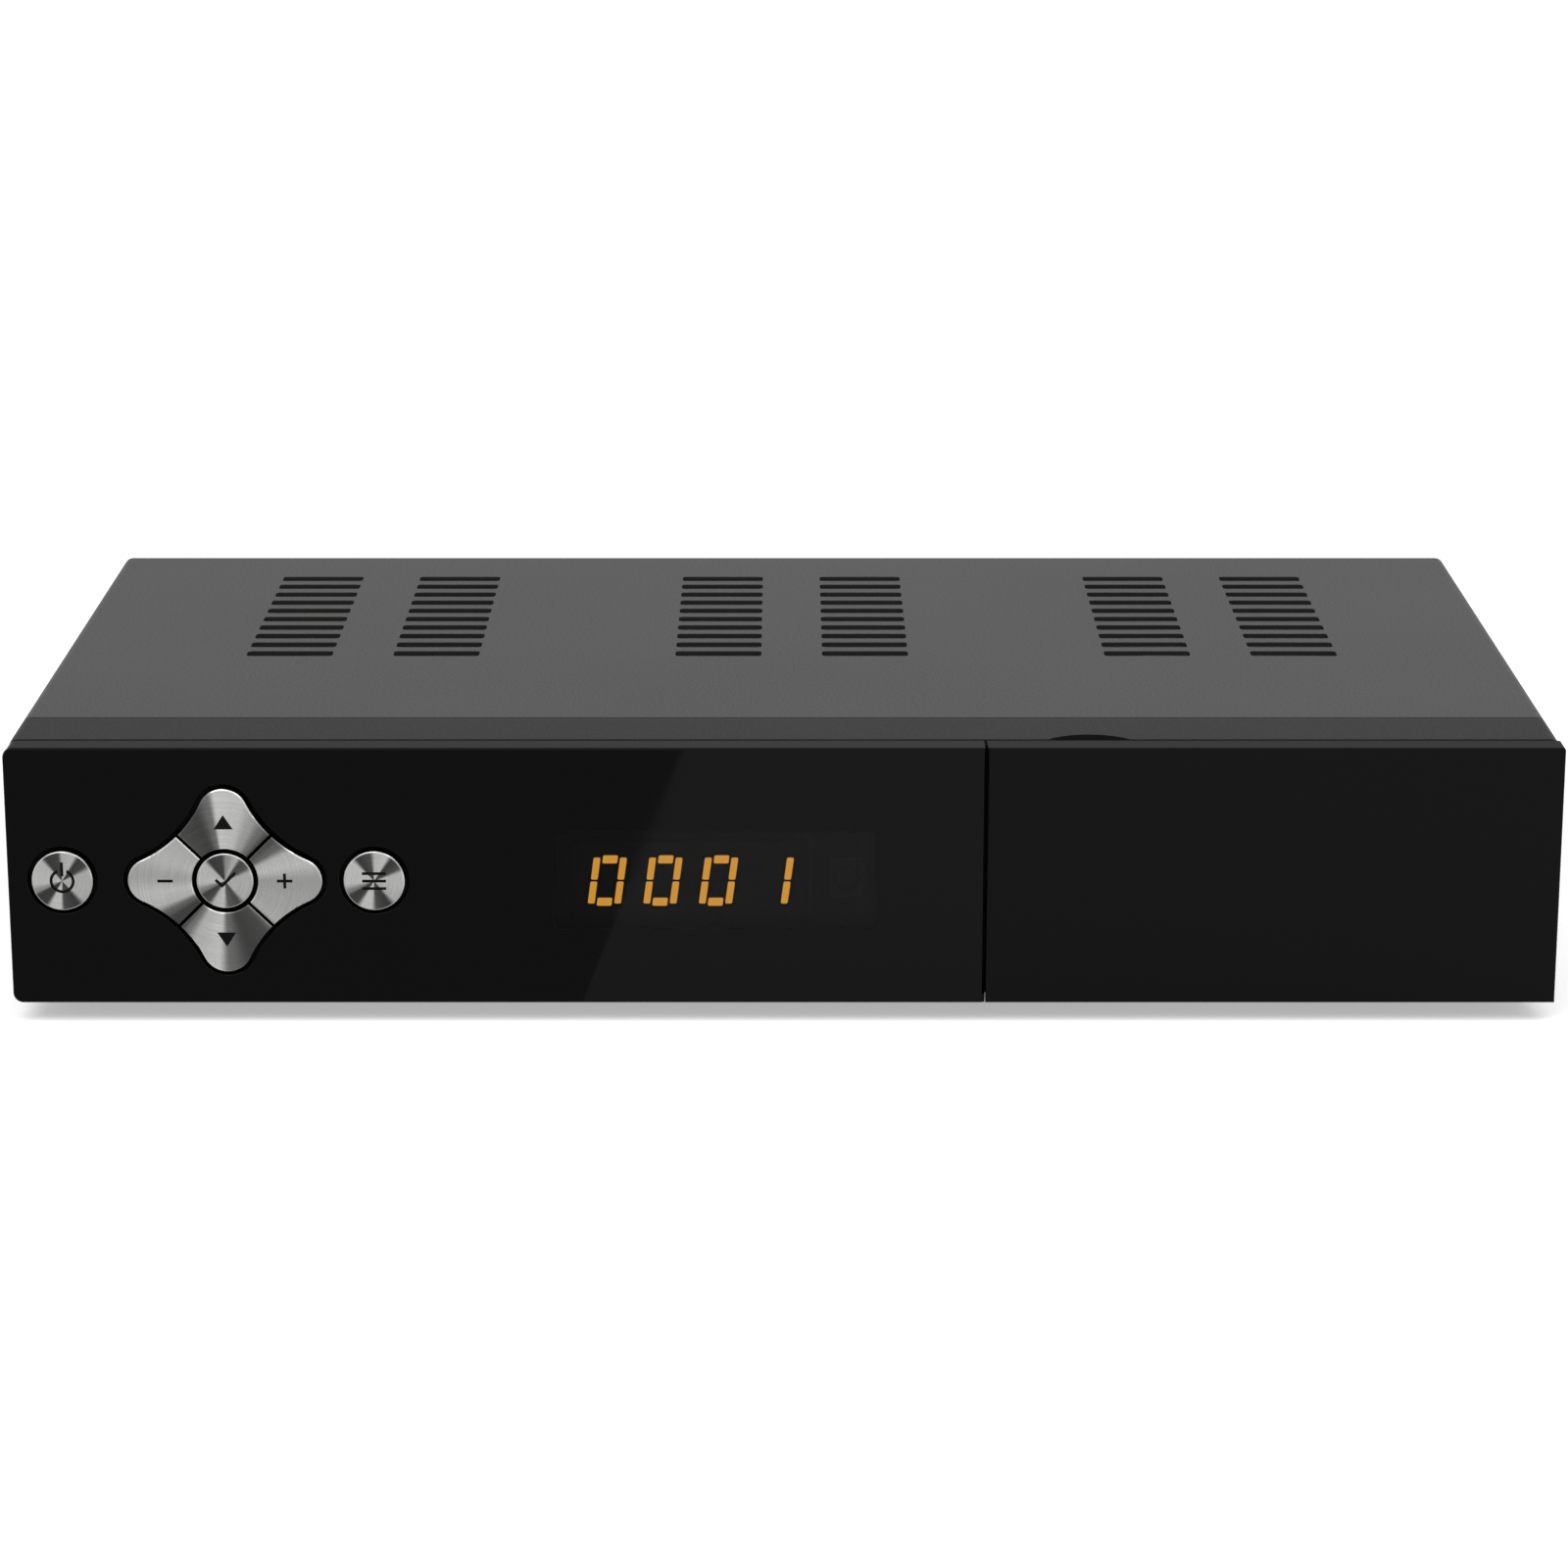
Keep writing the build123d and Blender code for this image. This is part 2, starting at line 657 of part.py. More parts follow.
with BuildPart() as rear_panel:
    block((-panel_half, panel_half), (panel_front, rear_face), (edge_gap, case_height - sheet - edge_gap))
    for x in rear_screw_x:
        for height in (low_screw_row, case_height - back_flange / 2):
            rod(x, (panel_front, rear_face), height, screw_hole, mode=Mode.SUBTRACT)
    for x in lnb_x:
        rod(x, (panel_front, rear_face), lnb_row, lnb_neck + edge_gap, mode=Mode.SUBTRACT)
    for x in phono_at:
        rod(x, (panel_front, rear_face), phono_row, phono_neck + edge_gap, mode=Mode.SUBTRACT)
    for x, size_x, low, high in ((hdmi_x, hdmi_size[0], *hdmi_row),
                                 (scart_x, scart_size[0], *scart_row),
                                 (inlet_x, inlet_body[0], *around(inlet_row, inlet_body[2])),
                                 (switch_x, switch_body_width, *around(switch_row, switch_body_height))):
        block(around(x, size_x + 2 * cutout_gap), (panel_front, rear_face),
              (low - cutout_gap, high + cutout_gap), mode=Mode.SUBTRACT)
    with BuildSketch(facing(rear_face, back_vent_x, back_vent_row)):
        with GridLocations(back_vent_pitch, 1, back_vent_count, 1):
            SlotOverall(back_vent_length, back_vent_width, rotation=90)
    extrude(amount=tray_sheet, mode=Mode.SUBTRACT)

with BuildPart() as rubber_feet:
    for x in (-half_width + foot_inset_x, half_width - foot_inset_x):
        for depth in (foot_inset_front, case_depth - foot_inset_back):
            post(x, depth, (-foot_height, 0), foot_radius)
    chamfer(rubber_feet.edges().group_by(Axis.Z)[0], length=foot_chamfer)

# ---- Front frame, plate, window and flap ----
full_x = (-half_width, half_width)
full_row = (0, case_height)

with BuildPart() as front_frame:
    extrude(outline(facing(frame_back), full_x, full_row, (corner_radius,) * 4),
            amount=frame_back - frame_front)
    extrude(outline(facing(frame_back), inset(full_x, frame_rim), inset(full_row, frame_rim)),
            amount=frame_back - wall_back, mode=Mode.SUBTRACT)
    tongue_start = frame_back - frame_rim
    tongue_radius = corner_radius - sheet
    extrude(outline(facing(tongue_back), inset(full_x, tongue_inset), inset(full_row, tongue_inset),
                    (tongue_radius,) * 4), amount=tongue_back - tongue_start)
    tongue_hollow = tongue_inset + frame_wall
    extrude(outline(facing(tongue_back), inset(full_x, tongue_hollow), inset(full_row, tongue_hollow)),
            amount=tongue_back - tongue_start, mode=Mode.SUBTRACT)
    # Ledge that the plate is seated on, and the flat that the flap closes against
    ledge_x = (-half_width + groove, plate_right)
    ledge_row = inset(full_row, groove)
    extrude(outline(facing(frame_front), ledge_x, ledge_row), amount=groove)
    extrude(outline(facing(frame_front), inset(ledge_x, ledge_width), inset(ledge_row, ledge_width)),
            amount=groove, mode=Mode.SUBTRACT)
    block((plate_right, half_width - groove), (plate_depth + flap_gap, frame_front), ledge_row)
    # Pocket behind the flap
    block(inset(pocket_x, -frame_wall), (frame_front, pocket_depth), inset(pocket_row, -frame_wall))
    block(pocket_x, (plate_depth, pocket_depth - frame_wall), pocket_row, mode=Mode.SUBTRACT)
    block(around(card_reader_x, card_slot[0] + 2 * cutout_gap), (pocket_depth - frame_wall, pocket_depth),
          around(card_row, card_slot[1] + 4 * cutout_gap), mode=Mode.SUBTRACT)
    block(around(usb_x, usb_size[0] + 2 * cutout_gap), (pocket_depth - frame_wall, pocket_depth),
          around(usb_row, usb_size[2] + 2 * cutout_gap), mode=Mode.SUBTRACT)
    # Finger notch in the top edge, with its own bottom and back
    notch_radius = (notch_chord**2 / 4 + notch_sagitta**2) / (2 * notch_sagitta)
    notch_plane = lying(case_height, notch_x, plate_depth)
    with BuildSketch(notch_plane):
        with Locations((0, notch_sagitta - notch_radius)):
            Circle(notch_radius + frame_wall)
        with Locations((0, flap_gap)):
            Rectangle(4 * notch_radius, 4 * notch_radius, align=(Align.CENTER, Align.MIN),
                      mode=Mode.INTERSECT)
    extrude(amount=-notch_depth - frame_wall)
    with BuildSketch(notch_plane):
        with Locations((0, notch_sagitta - notch_radius)):
            Circle(notch_radius)
    extrude(amount=-notch_depth, mode=Mode.SUBTRACT)
    block(around(notch_x, 4 * notch_radius), (plate_depth, frame_front), (case_height - groove, case_height),
          mode=Mode.SUBTRACT)
    # Hinge ears of the flap
    for x in ear_x:
        axle(around(x, ear_width), hinge_depth, hinge_row, ear_radius)
        block(around(x, ear_width), (hinge_depth, wall_back), around(hinge_row, 2 * ear_radius))
        axle(around(x, ear_width), hinge_depth, hinge_row, hinge_rod_radius + running_fit,
             mode=Mode.SUBTRACT)
    for x in magnet_x:
        rod(x, (plate_depth, plate_depth + flap_gap + catch_thickness), magnet_row,
            catch_radius + running_fit, mode=Mode.SUBTRACT)
    # Openings for the key stems, the display and the receiver eye
    for x, height in stems.values():
        rod(x, (frame_front, wall_back), height, stem_radius + stem_gap, mode=Mode.SUBTRACT)
    block(around(display_x, display_width + 2 * cutout_gap), (frame_front, wall_back),
          around(display_row, display_height + 2 * cutout_gap), mode=Mode.SUBTRACT)
    block(around(sensor_x, sensor_size[0] + 2 * cutout_gap), (frame_front, wall_back),
          around(display_row, sensor_size[1] + 2 * cutout_gap), mode=Mode.SUBTRACT)
    # Screw bosses for the front board and the tray
    for x, height in front_screws:
        rod(x, (wall_back, board_front), height, boss_radius)
        rod(x, (wall_back, board_front), height, small_screw + running_fit, mode=Mode.SUBTRACT)
    for x in rear_screw_x:
        post(x, frame_screw_depth, (tongue_inset, frame_boss_top), standoff_radius)
        post(x, frame_screw_depth, (0, frame_boss_top), screw_hole, mode=Mode.SUBTRACT)

with BuildPart() as front_plate:
    plate_x = (-half_width, plate_right)
    extrude(outline(facing(plate_depth), plate_x, full_row, (corner_radius, 0, 0, corner_radius)),
            amount=plate_depth)
    fillet(front_plate.faces().sort_by(Axis.Y)[0].edges(), radius=glass_edge)
    extrude(outline(facing(plate_depth), inset(plate_x, plate_rim), inset(full_row, plate_rim)),
            amount=plate_depth - face_wall, mode=Mode.SUBTRACT)
    block((plate_right - plate_rim, plate_right + sill[0]), (sill[1], plate_depth), (0, sill[2]))
    for x in (power_x, menu_x):
        rod(x, (0, face_wall), key_row, round_radius + key_gap, mode=Mode.SUBTRACT)
    extrude(pad_shape(facing(face_wall, pad_x, key_row), key_gap), amount=face_wall, mode=Mode.SUBTRACT)
    hole_edges = [edge for wire in front_plate.faces().sort_by(Axis.Y)[0].inner_wires()
                  for edge in wire.edges()]
    fillet(hole_edges, radius=hole_edge)
    extrude(outline(facing(face_wall), window_x, window_row, (window_corner,) * 4), amount=face_wall,
            mode=Mode.SUBTRACT)

with BuildPart() as display_window:
    pane_radius = window_corner - window_fit
    extrude(outline(facing(face_wall), inset(window_x, window_fit), inset(window_row, window_fit),
                    (pane_radius,) * 4), amount=face_wall)
    extrude(outline(facing(face_wall + window_lip), inset(window_x, -window_flange),
                    inset(window_row, -window_flange)), amount=window_lip)

with BuildPart() as flap_door:
    flap_x = (flap_left, half_width)
    extrude(outline(facing(plate_depth), flap_x, full_row, (0, flap_corner, 0, 0)),
            amount=plate_depth)
    fillet(flap_door.faces().sort_by(Axis.Y)[0].edges(), radius=glass_edge)
    fillet(flap_door.faces().sort_by(Axis.Y)[-1].edges().sort_by(Axis.Z)[0], radius=hinge_row - seat_fit)
    block(inset(flap_x, flap_rim), (face_wall, plate_depth), (2 * hinge_row, case_height - flap_rim),
          mode=Mode.SUBTRACT)
    for x in ear_x:
        block(around(x, ear_width + 2 * flap_gap), (hinge_depth - ear_radius - flap_gap, plate_depth),
              (0, hinge_row + ear_radius + flap_gap), mode=Mode.SUBTRACT)
    axle((flap_left, half_width - 2 * flap_rim), hinge_depth, hinge_row, hinge_rod_radius + seat_fit,
         mode=Mode.SUBTRACT)

with BuildPart() as flap_hinge_rod:
    axle((flap_left + flap_gap, half_width - 2 * flap_rim - flap_gap), hinge_depth, hinge_row,
         hinge_rod_radius)

with BuildPart() as flap_magnets:
    for x in magnet_x:
        rod(x, (face_wall, plate_depth - flap_gap), magnet_row, magnet_radius)

with BuildPart() as catch_plates:
    for x in magnet_x:
        rod(x, (plate_depth + flap_gap, plate_depth + flap_gap + catch_thickness), magnet_row,
            catch_radius)


# ---- Keys and their switches ----
def make_key(cap, flange, flange_at, stem, mark):
    """A key: its cap up to the proud face, a flange that holds it in, and a stem to its switch."""
    with BuildPart() as key:
        extrude(cap, amount=flange_at + key_proud)
        fillet(key.faces().sort_by(Axis.Y)[0].edges(), radius=key_edge)
        extrude(flange, amount=-flange_thickness)
        rod(stem[0], (flange_at, stem_end), stem[1], stem_radius)
        extrude(mark, amount=-engraving, mode=Mode.SUBTRACT)
    return key


def make_plunger(stem):
    """The moving plunger of the switch behind a key."""
    with BuildPart() as plunger:
        rod(stem[0], (plunger_tip, switch_front + plunger_root), stem[1], plunger_radius)
    return plunger


cap_face = -key_proud
keys = {}
for label, x, mark in (("power_key", power_x, power_mark), ("menu_key", menu_x, menu_mark)):
    seat = facing(flange_front, x, key_row)
    keys[label] = make_key(disc(seat, round_radius), disc(seat, round_radius + flange_margin),
                           flange_front, stems[label], mark(facing(cap_face, x, key_row)))

seat = facing(ok_flange_front, pad_x, key_row)
keys["ok_key"] = make_key(disc(seat, ok_radius), disc(seat, ok_flange), ok_flange_front,
                          stems["ok_key"], ok_mark(facing(cap_face, pad_x, key_row)))

pad_seat = facing(flange_front, pad_x, key_row)
for label, angle, x_step, z_step in pad_keys:
    mark_plane = facing(cap_face, *stems[label])
    if x_step:
        mark = sign_mark(mark_plane, plus=x_step > 0)
    else:
        mark = arrow_mark(mark_plane, angle)
    keys[label] = make_key(petal_shape(pad_seat, angle), petal_shape(pad_seat, angle, flange_margin),
                           flange_front, stems[label], mark)

plungers = {f"{label}_plunger": make_plunger(stem) for label, stem in stems.items()}

with BuildPart() as tact_switches:
    for x, height in stems.values():
        block(around(x, switch_size), (switch_front, board_front), around(height, switch_size))
        rod(x, (switch_front, switch_front + plunger_root + 2 * key_travel), height,
            plunger_radius + running_fit, mode=Mode.SUBTRACT)

# ---- Front board with the display ----
with BuildPart() as front_board:
    block(front_board_x, (board_front, board_front + pcb), front_board_row)
    for x, height in front_screws:
        rod(x, (board_front, board_front + pcb), height, small_screw + edge_gap, mode=Mode.SUBTRACT)

with BuildPart() as display_module:
    block(around(display_x, display_width), (display_front, board_front),
          around(display_row, display_height))


def lit_segments_of(digit, letters):
    """The slanted bars of one digit, by their usual letters."""
    bar = 1.18 * segment_width
    upright_x = (digit_width - segment_width) / 2
    upright_length = digit_height / 2 - 1.5 * segment_gap
    upright_row = (upright_length + segment_gap) / 2
    level_row = (digit_height - bar) / 2
    level_length = digit_width - 2 * segment_width - 2 * segment_gap
    places = {"a": (0, level_row), "d": (0, -level_row), "b": (upright_x, upright_row),
              "c": (upright_x, -upright_row), "e": (-upright_x, -upright_row),
              "f": (-upright_x, upright_row)}
    centre = (digit - 1.5) * digit_pitch
    for letter in letters:
        x, z = places[letter]
        reach_x, reach_z = (level_length, bar) if letter in "ad" else (segment_width, upright_length)
        corners = [(x + i * reach_x / 2, z + j * reach_z / 2)
                   for i, j in ((-1, -1), (1, -1), (1, 1), (-1, 1))]
        yield [(centre + px + pz * tan(radians(digit_slant)), pz) for px, pz in corners]


with BuildPart() as lit_segments:
    with BuildSketch(facing(display_front, display_x, display_row)) as bars:
        for digit, letters in enumerate(("abcdef", "abcdef", "abcdef", "bc")):
            for corners in lit_segments_of(digit, letters):
                Polygon(*corners, align=None)
        fillet(bars.vertices(), radius=segment_corner)
    extrude(amount=segment_depth)

with BuildPart() as infrared_eye:
    block(around(sensor_x, sensor_size[0]), (board_front - sensor_size[2], board_front),
          around(display_row, sensor_size[1]))
    with Locations((sensor_x, y_at(board_front - sensor_size[2]), z_at(display_row))):
        Sphere(sensor_size[0] / 2 - edge_gap)

with BuildPart() as board_headers:
    block(around(ribbon_x, ribbon_header[0]), (board_front + pcb, board_front + pcb + ribbon_header[2]),
          around(ribbon_row, ribbon_header[1]))
    block(around(ribbon_x, ribbon_header[0]), around(ribbon_depth, ribbon_header[1]),
          (board_top, board_top + ribbon_header[2]))
    for x in (psu_header_x, main_header_x):
        block(around(x, power_header[0]), around(cable_depth, power_header[1]),
              (board_top, board_top + power_header[2]))
    for x in (inlet_x - inlet_pin_pitch / 2, switch_x + blade_pitch / 2):
        block(around(x, lead_header[0]), around(lead_depth, lead_header[1]),
              (board_top, board_top + lead_header[2]))


with BuildPart() as front_ribbon:
    start = at(ribbon_x, board_front + pcb + ribbon_header[2], ribbon_row)
    with BuildLine():
        FilletPolyline(start, at(ribbon_x, ribbon_depth, ribbon_row),
                       at(ribbon_x, ribbon_depth, board_top + ribbon_header[2]), radius=ribbon_bend)
    with BuildSketch(Plane(origin=start, x_dir=(1, 0, 0), z_dir=(0, 1, 0))):
        Rectangle(*ribbon)
    sweep()


with BuildPart() as power_cable:
    header_top = board_top + power_header[2]
    for i in range(cable_wires):
        depth = cable_depth + (i - (cable_wires - 1) / 2) * cable_pitch
        with BuildLine() as run:
            FilletPolyline(at(psu_header_x, depth, header_top), at(psu_header_x, depth, cable_row),
                           at(main_header_x, depth, cable_row), at(main_header_x, depth, header_top),
                           radius=cable_bend)
        with BuildSketch(Plane(origin=run.line @ 0, z_dir=run.line % 0)):
            Circle(cable_radius)
        sweep()

# ---- Main board ----
with BuildPart() as main_board:
    block(main_board_x, main_board_depth, (board_low, board_top))
    for x, depth in main_screws:
        post(x, depth, (board_low, board_top), screw_clearance, mode=Mode.SUBTRACT)

with BuildPart() as logic_chips:
    for inset_x, depth, size_x, size_y, height in chips:
        block(around(main_board_x[1] - inset_x, size_x), around(depth, size_y),
              (board_top, board_top + height))

with BuildPart() as processor_heat_sink:
    sink_x = around(main_board_x[1] - chips[0][0], sink_size)
    sink_low = board_top + chips[0][4]
    block(sink_x, around(chips[0][1], sink_size), (sink_low, sink_low + sink_base))
    for i in range(sink_fins):
        fin_x = sink_x[0] + sink_fin / 2 + i * (sink_size - sink_fin) / (sink_fins - 1)
        block(around(fin_x, sink_fin), around(chips[0][1], sink_size),
              (sink_low + sink_base, sink_low + sink_height))

with BuildPart() as main_capacitors:
    for inset_x, depth, radius, height in left_capacitors:
        post(main_board_x[0] + inset_x, depth, (board_top, board_top + height), radius)
    for inset_x, depth, radius, height in right_capacitors:
        post(main_board_x[1] - inset_x, depth, (board_top, board_top + height), radius)

with BuildPart() as tuner_can:
    block((lnb_x[0] - tuner_margin, lnb_x[1] + tuner_margin),
          (panel_front - edge_gap - tuner_depth, panel_front - edge_gap),
          (board_top, board_top + tuner_height))

with BuildPart() as lnb_connectors:
    for x in lnb_x:
        rod(x, (panel_front - edge_gap, lnb_thread_start), lnb_row, lnb_neck)
        rod(x, (lnb_thread_start, case_depth + rear_reach), lnb_row, lnb_radius)
    chamfer(lnb_connectors.edges().group_by(Axis.Y)[-1], length=mouth_chamfer)
    for x in lnb_x:
        rod(x, (rear_face, case_depth + rear_reach), lnb_row, lnb_bore, mode=Mode.SUBTRACT)

with BuildPart() as lnb_nuts:
    for x in lnb_x:
        with BuildSketch(facing(rear_face + lnb_nut_height, x, lnb_row)):
            RegularPolygon(radius=lnb_nut_size / 2, side_count=6, major_radius=False)
            Circle(lnb_neck + running_fit, mode=Mode.SUBTRACT)
    extrude(amount=lnb_nut_height)

with BuildPart() as jack_insulators:
    for x in lnb_x:
        rod(x, (rear_face, case_depth + rear_reach - lnb_recess), lnb_row, lnb_bore - running_fit)
        rod(x, (rear_face + lnb_recess, case_depth + rear_reach), lnb_row, lnb_pin_hole,
            mode=Mode.SUBTRACT)
    for x in phono_at:
        rod(x, (panel_front, phono_end - phono_recess), phono_row, phono_bore - running_fit)
        rod(x, (panel_front + phono_recess, phono_end), phono_row, phono_pin_hole, mode=Mode.SUBTRACT)

with BuildPart() as phono_block:
    block(around(phono_x, phono_body[0]), (panel_front - phono_body[1], panel_front),
          (board_top, board_top + phono_body[2]))

with BuildPart() as phono_sleeves:
    for x in phono_at:
        rod(x, (panel_front, phono_neck_end), phono_row, phono_neck)
        rod(x, (phono_neck_end, phono_end), phono_row, phono_radius)
    chamfer(phono_sleeves.edges().group_by(Axis.Y)[-1], length=mouth_chamfer)
    for x in phono_at:
        rod(x, (panel_front, phono_end), phono_row, phono_bore, mode=Mode.SUBTRACT)

with BuildPart() as hdmi_socket:
    hdmi_mouth = rear_face + shell_lip
    block(around(hdmi_x, hdmi_size[0]), (panel_front - hdmi_size[1], hdmi_mouth), hdmi_row)
    mid_row = sum(hdmi_row) / 2
    with BuildSketch(facing(hdmi_mouth, hdmi_x, mid_row)):
        with BuildLine():
            wide = hdmi_size[0] / 2 - shell_wall
            tall = hdmi_size[2] / 2 - shell_wall
            Polyline((-wide, tall), (wide, tall), (wide, 0), (wide - tall / 2, -tall),
                     (tall / 2 - wide, -tall), (-wide, 0), close=True)
        make_face()
    extrude(amount=hdmi_size[1] - shell_wall, mode=Mode.SUBTRACT)
    block(around(hdmi_x, hdmi_tongue[0]), (panel_front - hdmi_size[1], rear_face - shell_lip),
          around(mid_row, hdmi_tongue[1]))

with BuildPart() as scart_socket:
    scart_mouth = rear_face + shell_lip
    block(around(scart_x, scart_size[0]), (panel_front - scart_size[1], scart_mouth), scart_row)
    with BuildSketch(facing(scart_mouth, scart_x, sum(scart_row) / 2)):
        with BuildLine():
            wide = scart_size[0] / 2 - shell_wall
            tall = scart_size[2] / 2 - shell_wall
            Polyline((-wide, tall), (wide, tall), (wide, -tall), (tall - wide, -tall), (-wide, 0),
                     close=True)
        make_face()
        offset(amount=-scart_groove, mode=Mode.SUBTRACT)
    extrude(amount=scart_recess, mode=Mode.SUBTRACT)
    with BuildSketch(facing(scart_mouth, scart_x, sum(scart_row) / 2)):
        for row, shift in ((1, 0), (-1, scart_pitch / 2)):
            with Locations((shift, row * scart_contact[1] * 0.75)):
                with GridLocations(scart_pitch, 1, 10, 1):
                    Rectangle(*scart_contact)
    extrude(amount=scart_recess, mode=Mode.SUBTRACT)

with BuildPart() as usb_socket:
    block(around(usb_x, usb_size[0]), (usb_front, usb_front + usb_size[1]), around(usb_row, usb_size[2]))
    block(around(usb_x, usb_size[0] - 2 * usb_wall), (usb_front, usb_front + usb_size[1] - 2 * usb_wall),
          around(usb_row, usb_size[2] - 2 * usb_wall), mode=Mode.SUBTRACT)
    block(around(usb_x, usb_tongue[0]), (usb_front + 2 * usb_wall, usb_front + usb_size[1]),
          (usb_row + usb_wall, usb_row + usb_wall + usb_tongue[1]))

with BuildPart() as card_reader:
    reader_row = (board_top, board_top + card_reader_size[2])
    reader_depth = (card_reader_front, card_reader_front + card_reader_size[1])
    block(around(card_reader_x, card_reader_size[0]), reader_depth, reader_row)
    block(around(card_reader_x, card_slot[0]), (reader_depth[0], reader_depth[1] - 2 * usb_wall),
          around(card_row, card_slot[1]), mode=Mode.SUBTRACT)

# ---- Power supply ----
with BuildPart() as psu_board:
    block(psu_board_x, psu_board_depth, (board_low, board_top))
    for x, depth in psu_screws:
        post(x, depth, (board_low, board_top), screw_clearance, mode=Mode.SUBTRACT)

with BuildPart() as psu_transformer:
    block(around(transformer_x, transformer_core[0]), around(transformer_depth, transformer_core[1]),
          (board_top + edge_gap, board_top + transformer_core[2]))
    block(around(transformer_x, transformer_core[0] - 2 * core_leg),
          around(transformer_depth, transformer_core[1] + 2 * core_leg),
          (board_top, board_top + transformer_core[2] - core_leg))

with BuildPart() as psu_capacitors:
    for inset_x, depth, radius, height in psu_capacitor_list:
        post(psu_board_x[0] + inset_x, depth, (board_top, board_top + height), radius)

with BuildPart() as psu_choke:
    block(around(choke_x, choke_size[0]), around(choke_depth, choke_size[1]),
          (board_top, board_top + choke_base))
    axle(around(choke_x, choke_size[0] - 2 * choke_base), choke_depth,
         board_top + choke_base + choke_ring - seat_fit, choke_ring)
    axle(around(choke_x, choke_size[0]), choke_depth, board_top + choke_base + choke_ring,
         choke_ring / 2, mode=Mode.SUBTRACT)

with BuildPart() as psu_heat_sink:
    block(around(psu_sink_x, psu_sink_size[0]), around(psu_sink_depth, psu_sink_size[1]),
          (board_top, board_top + psu_sink_size[2]))
    for i in range(psu_sink_fins):
        fin_x = psu_sink_x + (i - (psu_sink_fins - 1) / 2) * psu_sink_size[0] / psu_sink_fins
        block(around(fin_x, sink_fin), (psu_sink_depth - psu_sink_fin_reach, psu_sink_depth),
              (board_top + choke_base, board_top + psu_sink_size[2]))

with BuildPart() as mains_fuse:
    for side in (-1, 1):
        clip_x = fuse_x + side * (fuse_length / 2 - fuse_radius)
        block(around(clip_x, fuse_radius), around(fuse_depth, 2 * fuse_radius), (board_top, fuse_row))
    axle(around(fuse_x, fuse_length), fuse_depth, fuse_row, fuse_radius)

with BuildPart() as ac_inlet:
    block(around(inlet_x, inlet_body[0]), (panel_front - inlet_body[1], rear_face),
          around(inlet_row, inlet_body[2]))
    inlet_mouth = rear_face + inlet_flange
    extrude(outline(facing(inlet_mouth), around(inlet_x, inlet_body[0] + 4 * inlet_flange),
                    around(inlet_row, inlet_body[2] + 2 * inlet_flange), (inlet_flange,) * 4),
            amount=inlet_flange)
    extrude(slot(facing(inlet_mouth, inlet_x, inlet_row), inlet_pin_pitch + 2 * inlet_lobe,
                 2 * inlet_lobe), amount=inlet_recess, mode=Mode.SUBTRACT)
    for side in (-1, 1):
        pin_x = inlet_x + side * inlet_pin_pitch / 2
        rod(pin_x, (inlet_mouth - inlet_recess, inlet_mouth - inlet_pin_radius), inlet_row,
            inlet_pin_radius)
        block(around(pin_x, blade[0]), (blade_end, panel_front - inlet_body[1]),
              around(inlet_row, blade[1]))

with BuildPart() as power_switch:
    block(around(switch_x, switch_body_width), (rear_face - switch_body_depth, rear_face),
          around(switch_row, switch_body_height))
    extrude(outline(facing(rear_face + rocker_bezel),
                    around(switch_x, switch_body_width + 2 * rocker_bezel),
                    around(switch_row, switch_body_height + 2 * rocker_bezel), (rocker_bezel,) * 4),
            amount=rocker_bezel)
    axle(around(switch_x, rocker_width + 2 * edge_gap), rocker_axis_depth, switch_row,
         rocker_radius + edge_gap, mode=Mode.SUBTRACT)
    axle(around(switch_x, switch_body_width - rocker_gudgeon), rocker_axis_depth, switch_row,
         rocker_pivot_radius + running_fit, mode=Mode.SUBTRACT)
    for side in (-1, 1):
        block(around(switch_x + side * blade_pitch / 2, blade[0]),
              (blade_end, rear_face - switch_body_depth), around(switch_row, blade[1]))

with BuildPart() as power_rocker:
    high = rocker_valley + rocker_radius * tan(radians(rocker_tilt))
    rocker_plane = Plane(origin=at(switch_x, rocker_axis_depth, switch_row), x_dir=(0, 1, 0),
                         z_dir=(1, 0, 0))
    with BuildSketch(rocker_plane):
        Circle(rocker_radius)
        Polygon((-rocker_valley, -rocker_radius), (high, -rocker_radius), (rocker_valley, 0),
                (high, rocker_radius), (-rocker_valley, rocker_radius), rotation=rocker_tilt,
                align=None, mode=Mode.INTERSECT)
    extrude(amount=rocker_width / 2, both=True)
    axle(around(switch_x, switch_body_width - 2 * rocker_gudgeon), rocker_axis_depth, switch_row,
         rocker_pivot_radius)

with BuildPart() as mains_leads:
    inner_blade = inlet_x + inlet_pin_pitch / 2
    outer_blade = inlet_x - inlet_pin_pitch / 2
    near_blade = switch_x - blade_pitch / 2
    far_blade = switch_x + blade_pitch / 2
    lead_top = board_top + lead_header[2]
    runs = [[at(inner_blade, blade_end, inlet_row), at(inner_blade, lead_turn, inlet_row),
             at(near_blade, lead_turn, switch_row), at(near_blade, blade_end, switch_row)]]
    for x, row in ((outer_blade, inlet_row), (far_blade, switch_row)):
        runs.append([at(x, blade_end, row), at(x, lead_depth, row), at(x, lead_depth, lead_top)])
    for points in runs:
        with BuildLine() as run:
            FilletPolyline(*points, radius=lead_bend)
        with BuildSketch(Plane(origin=run.line @ 0, z_dir=run.line % 0)):
            Circle(lead_radius)
        sweep()

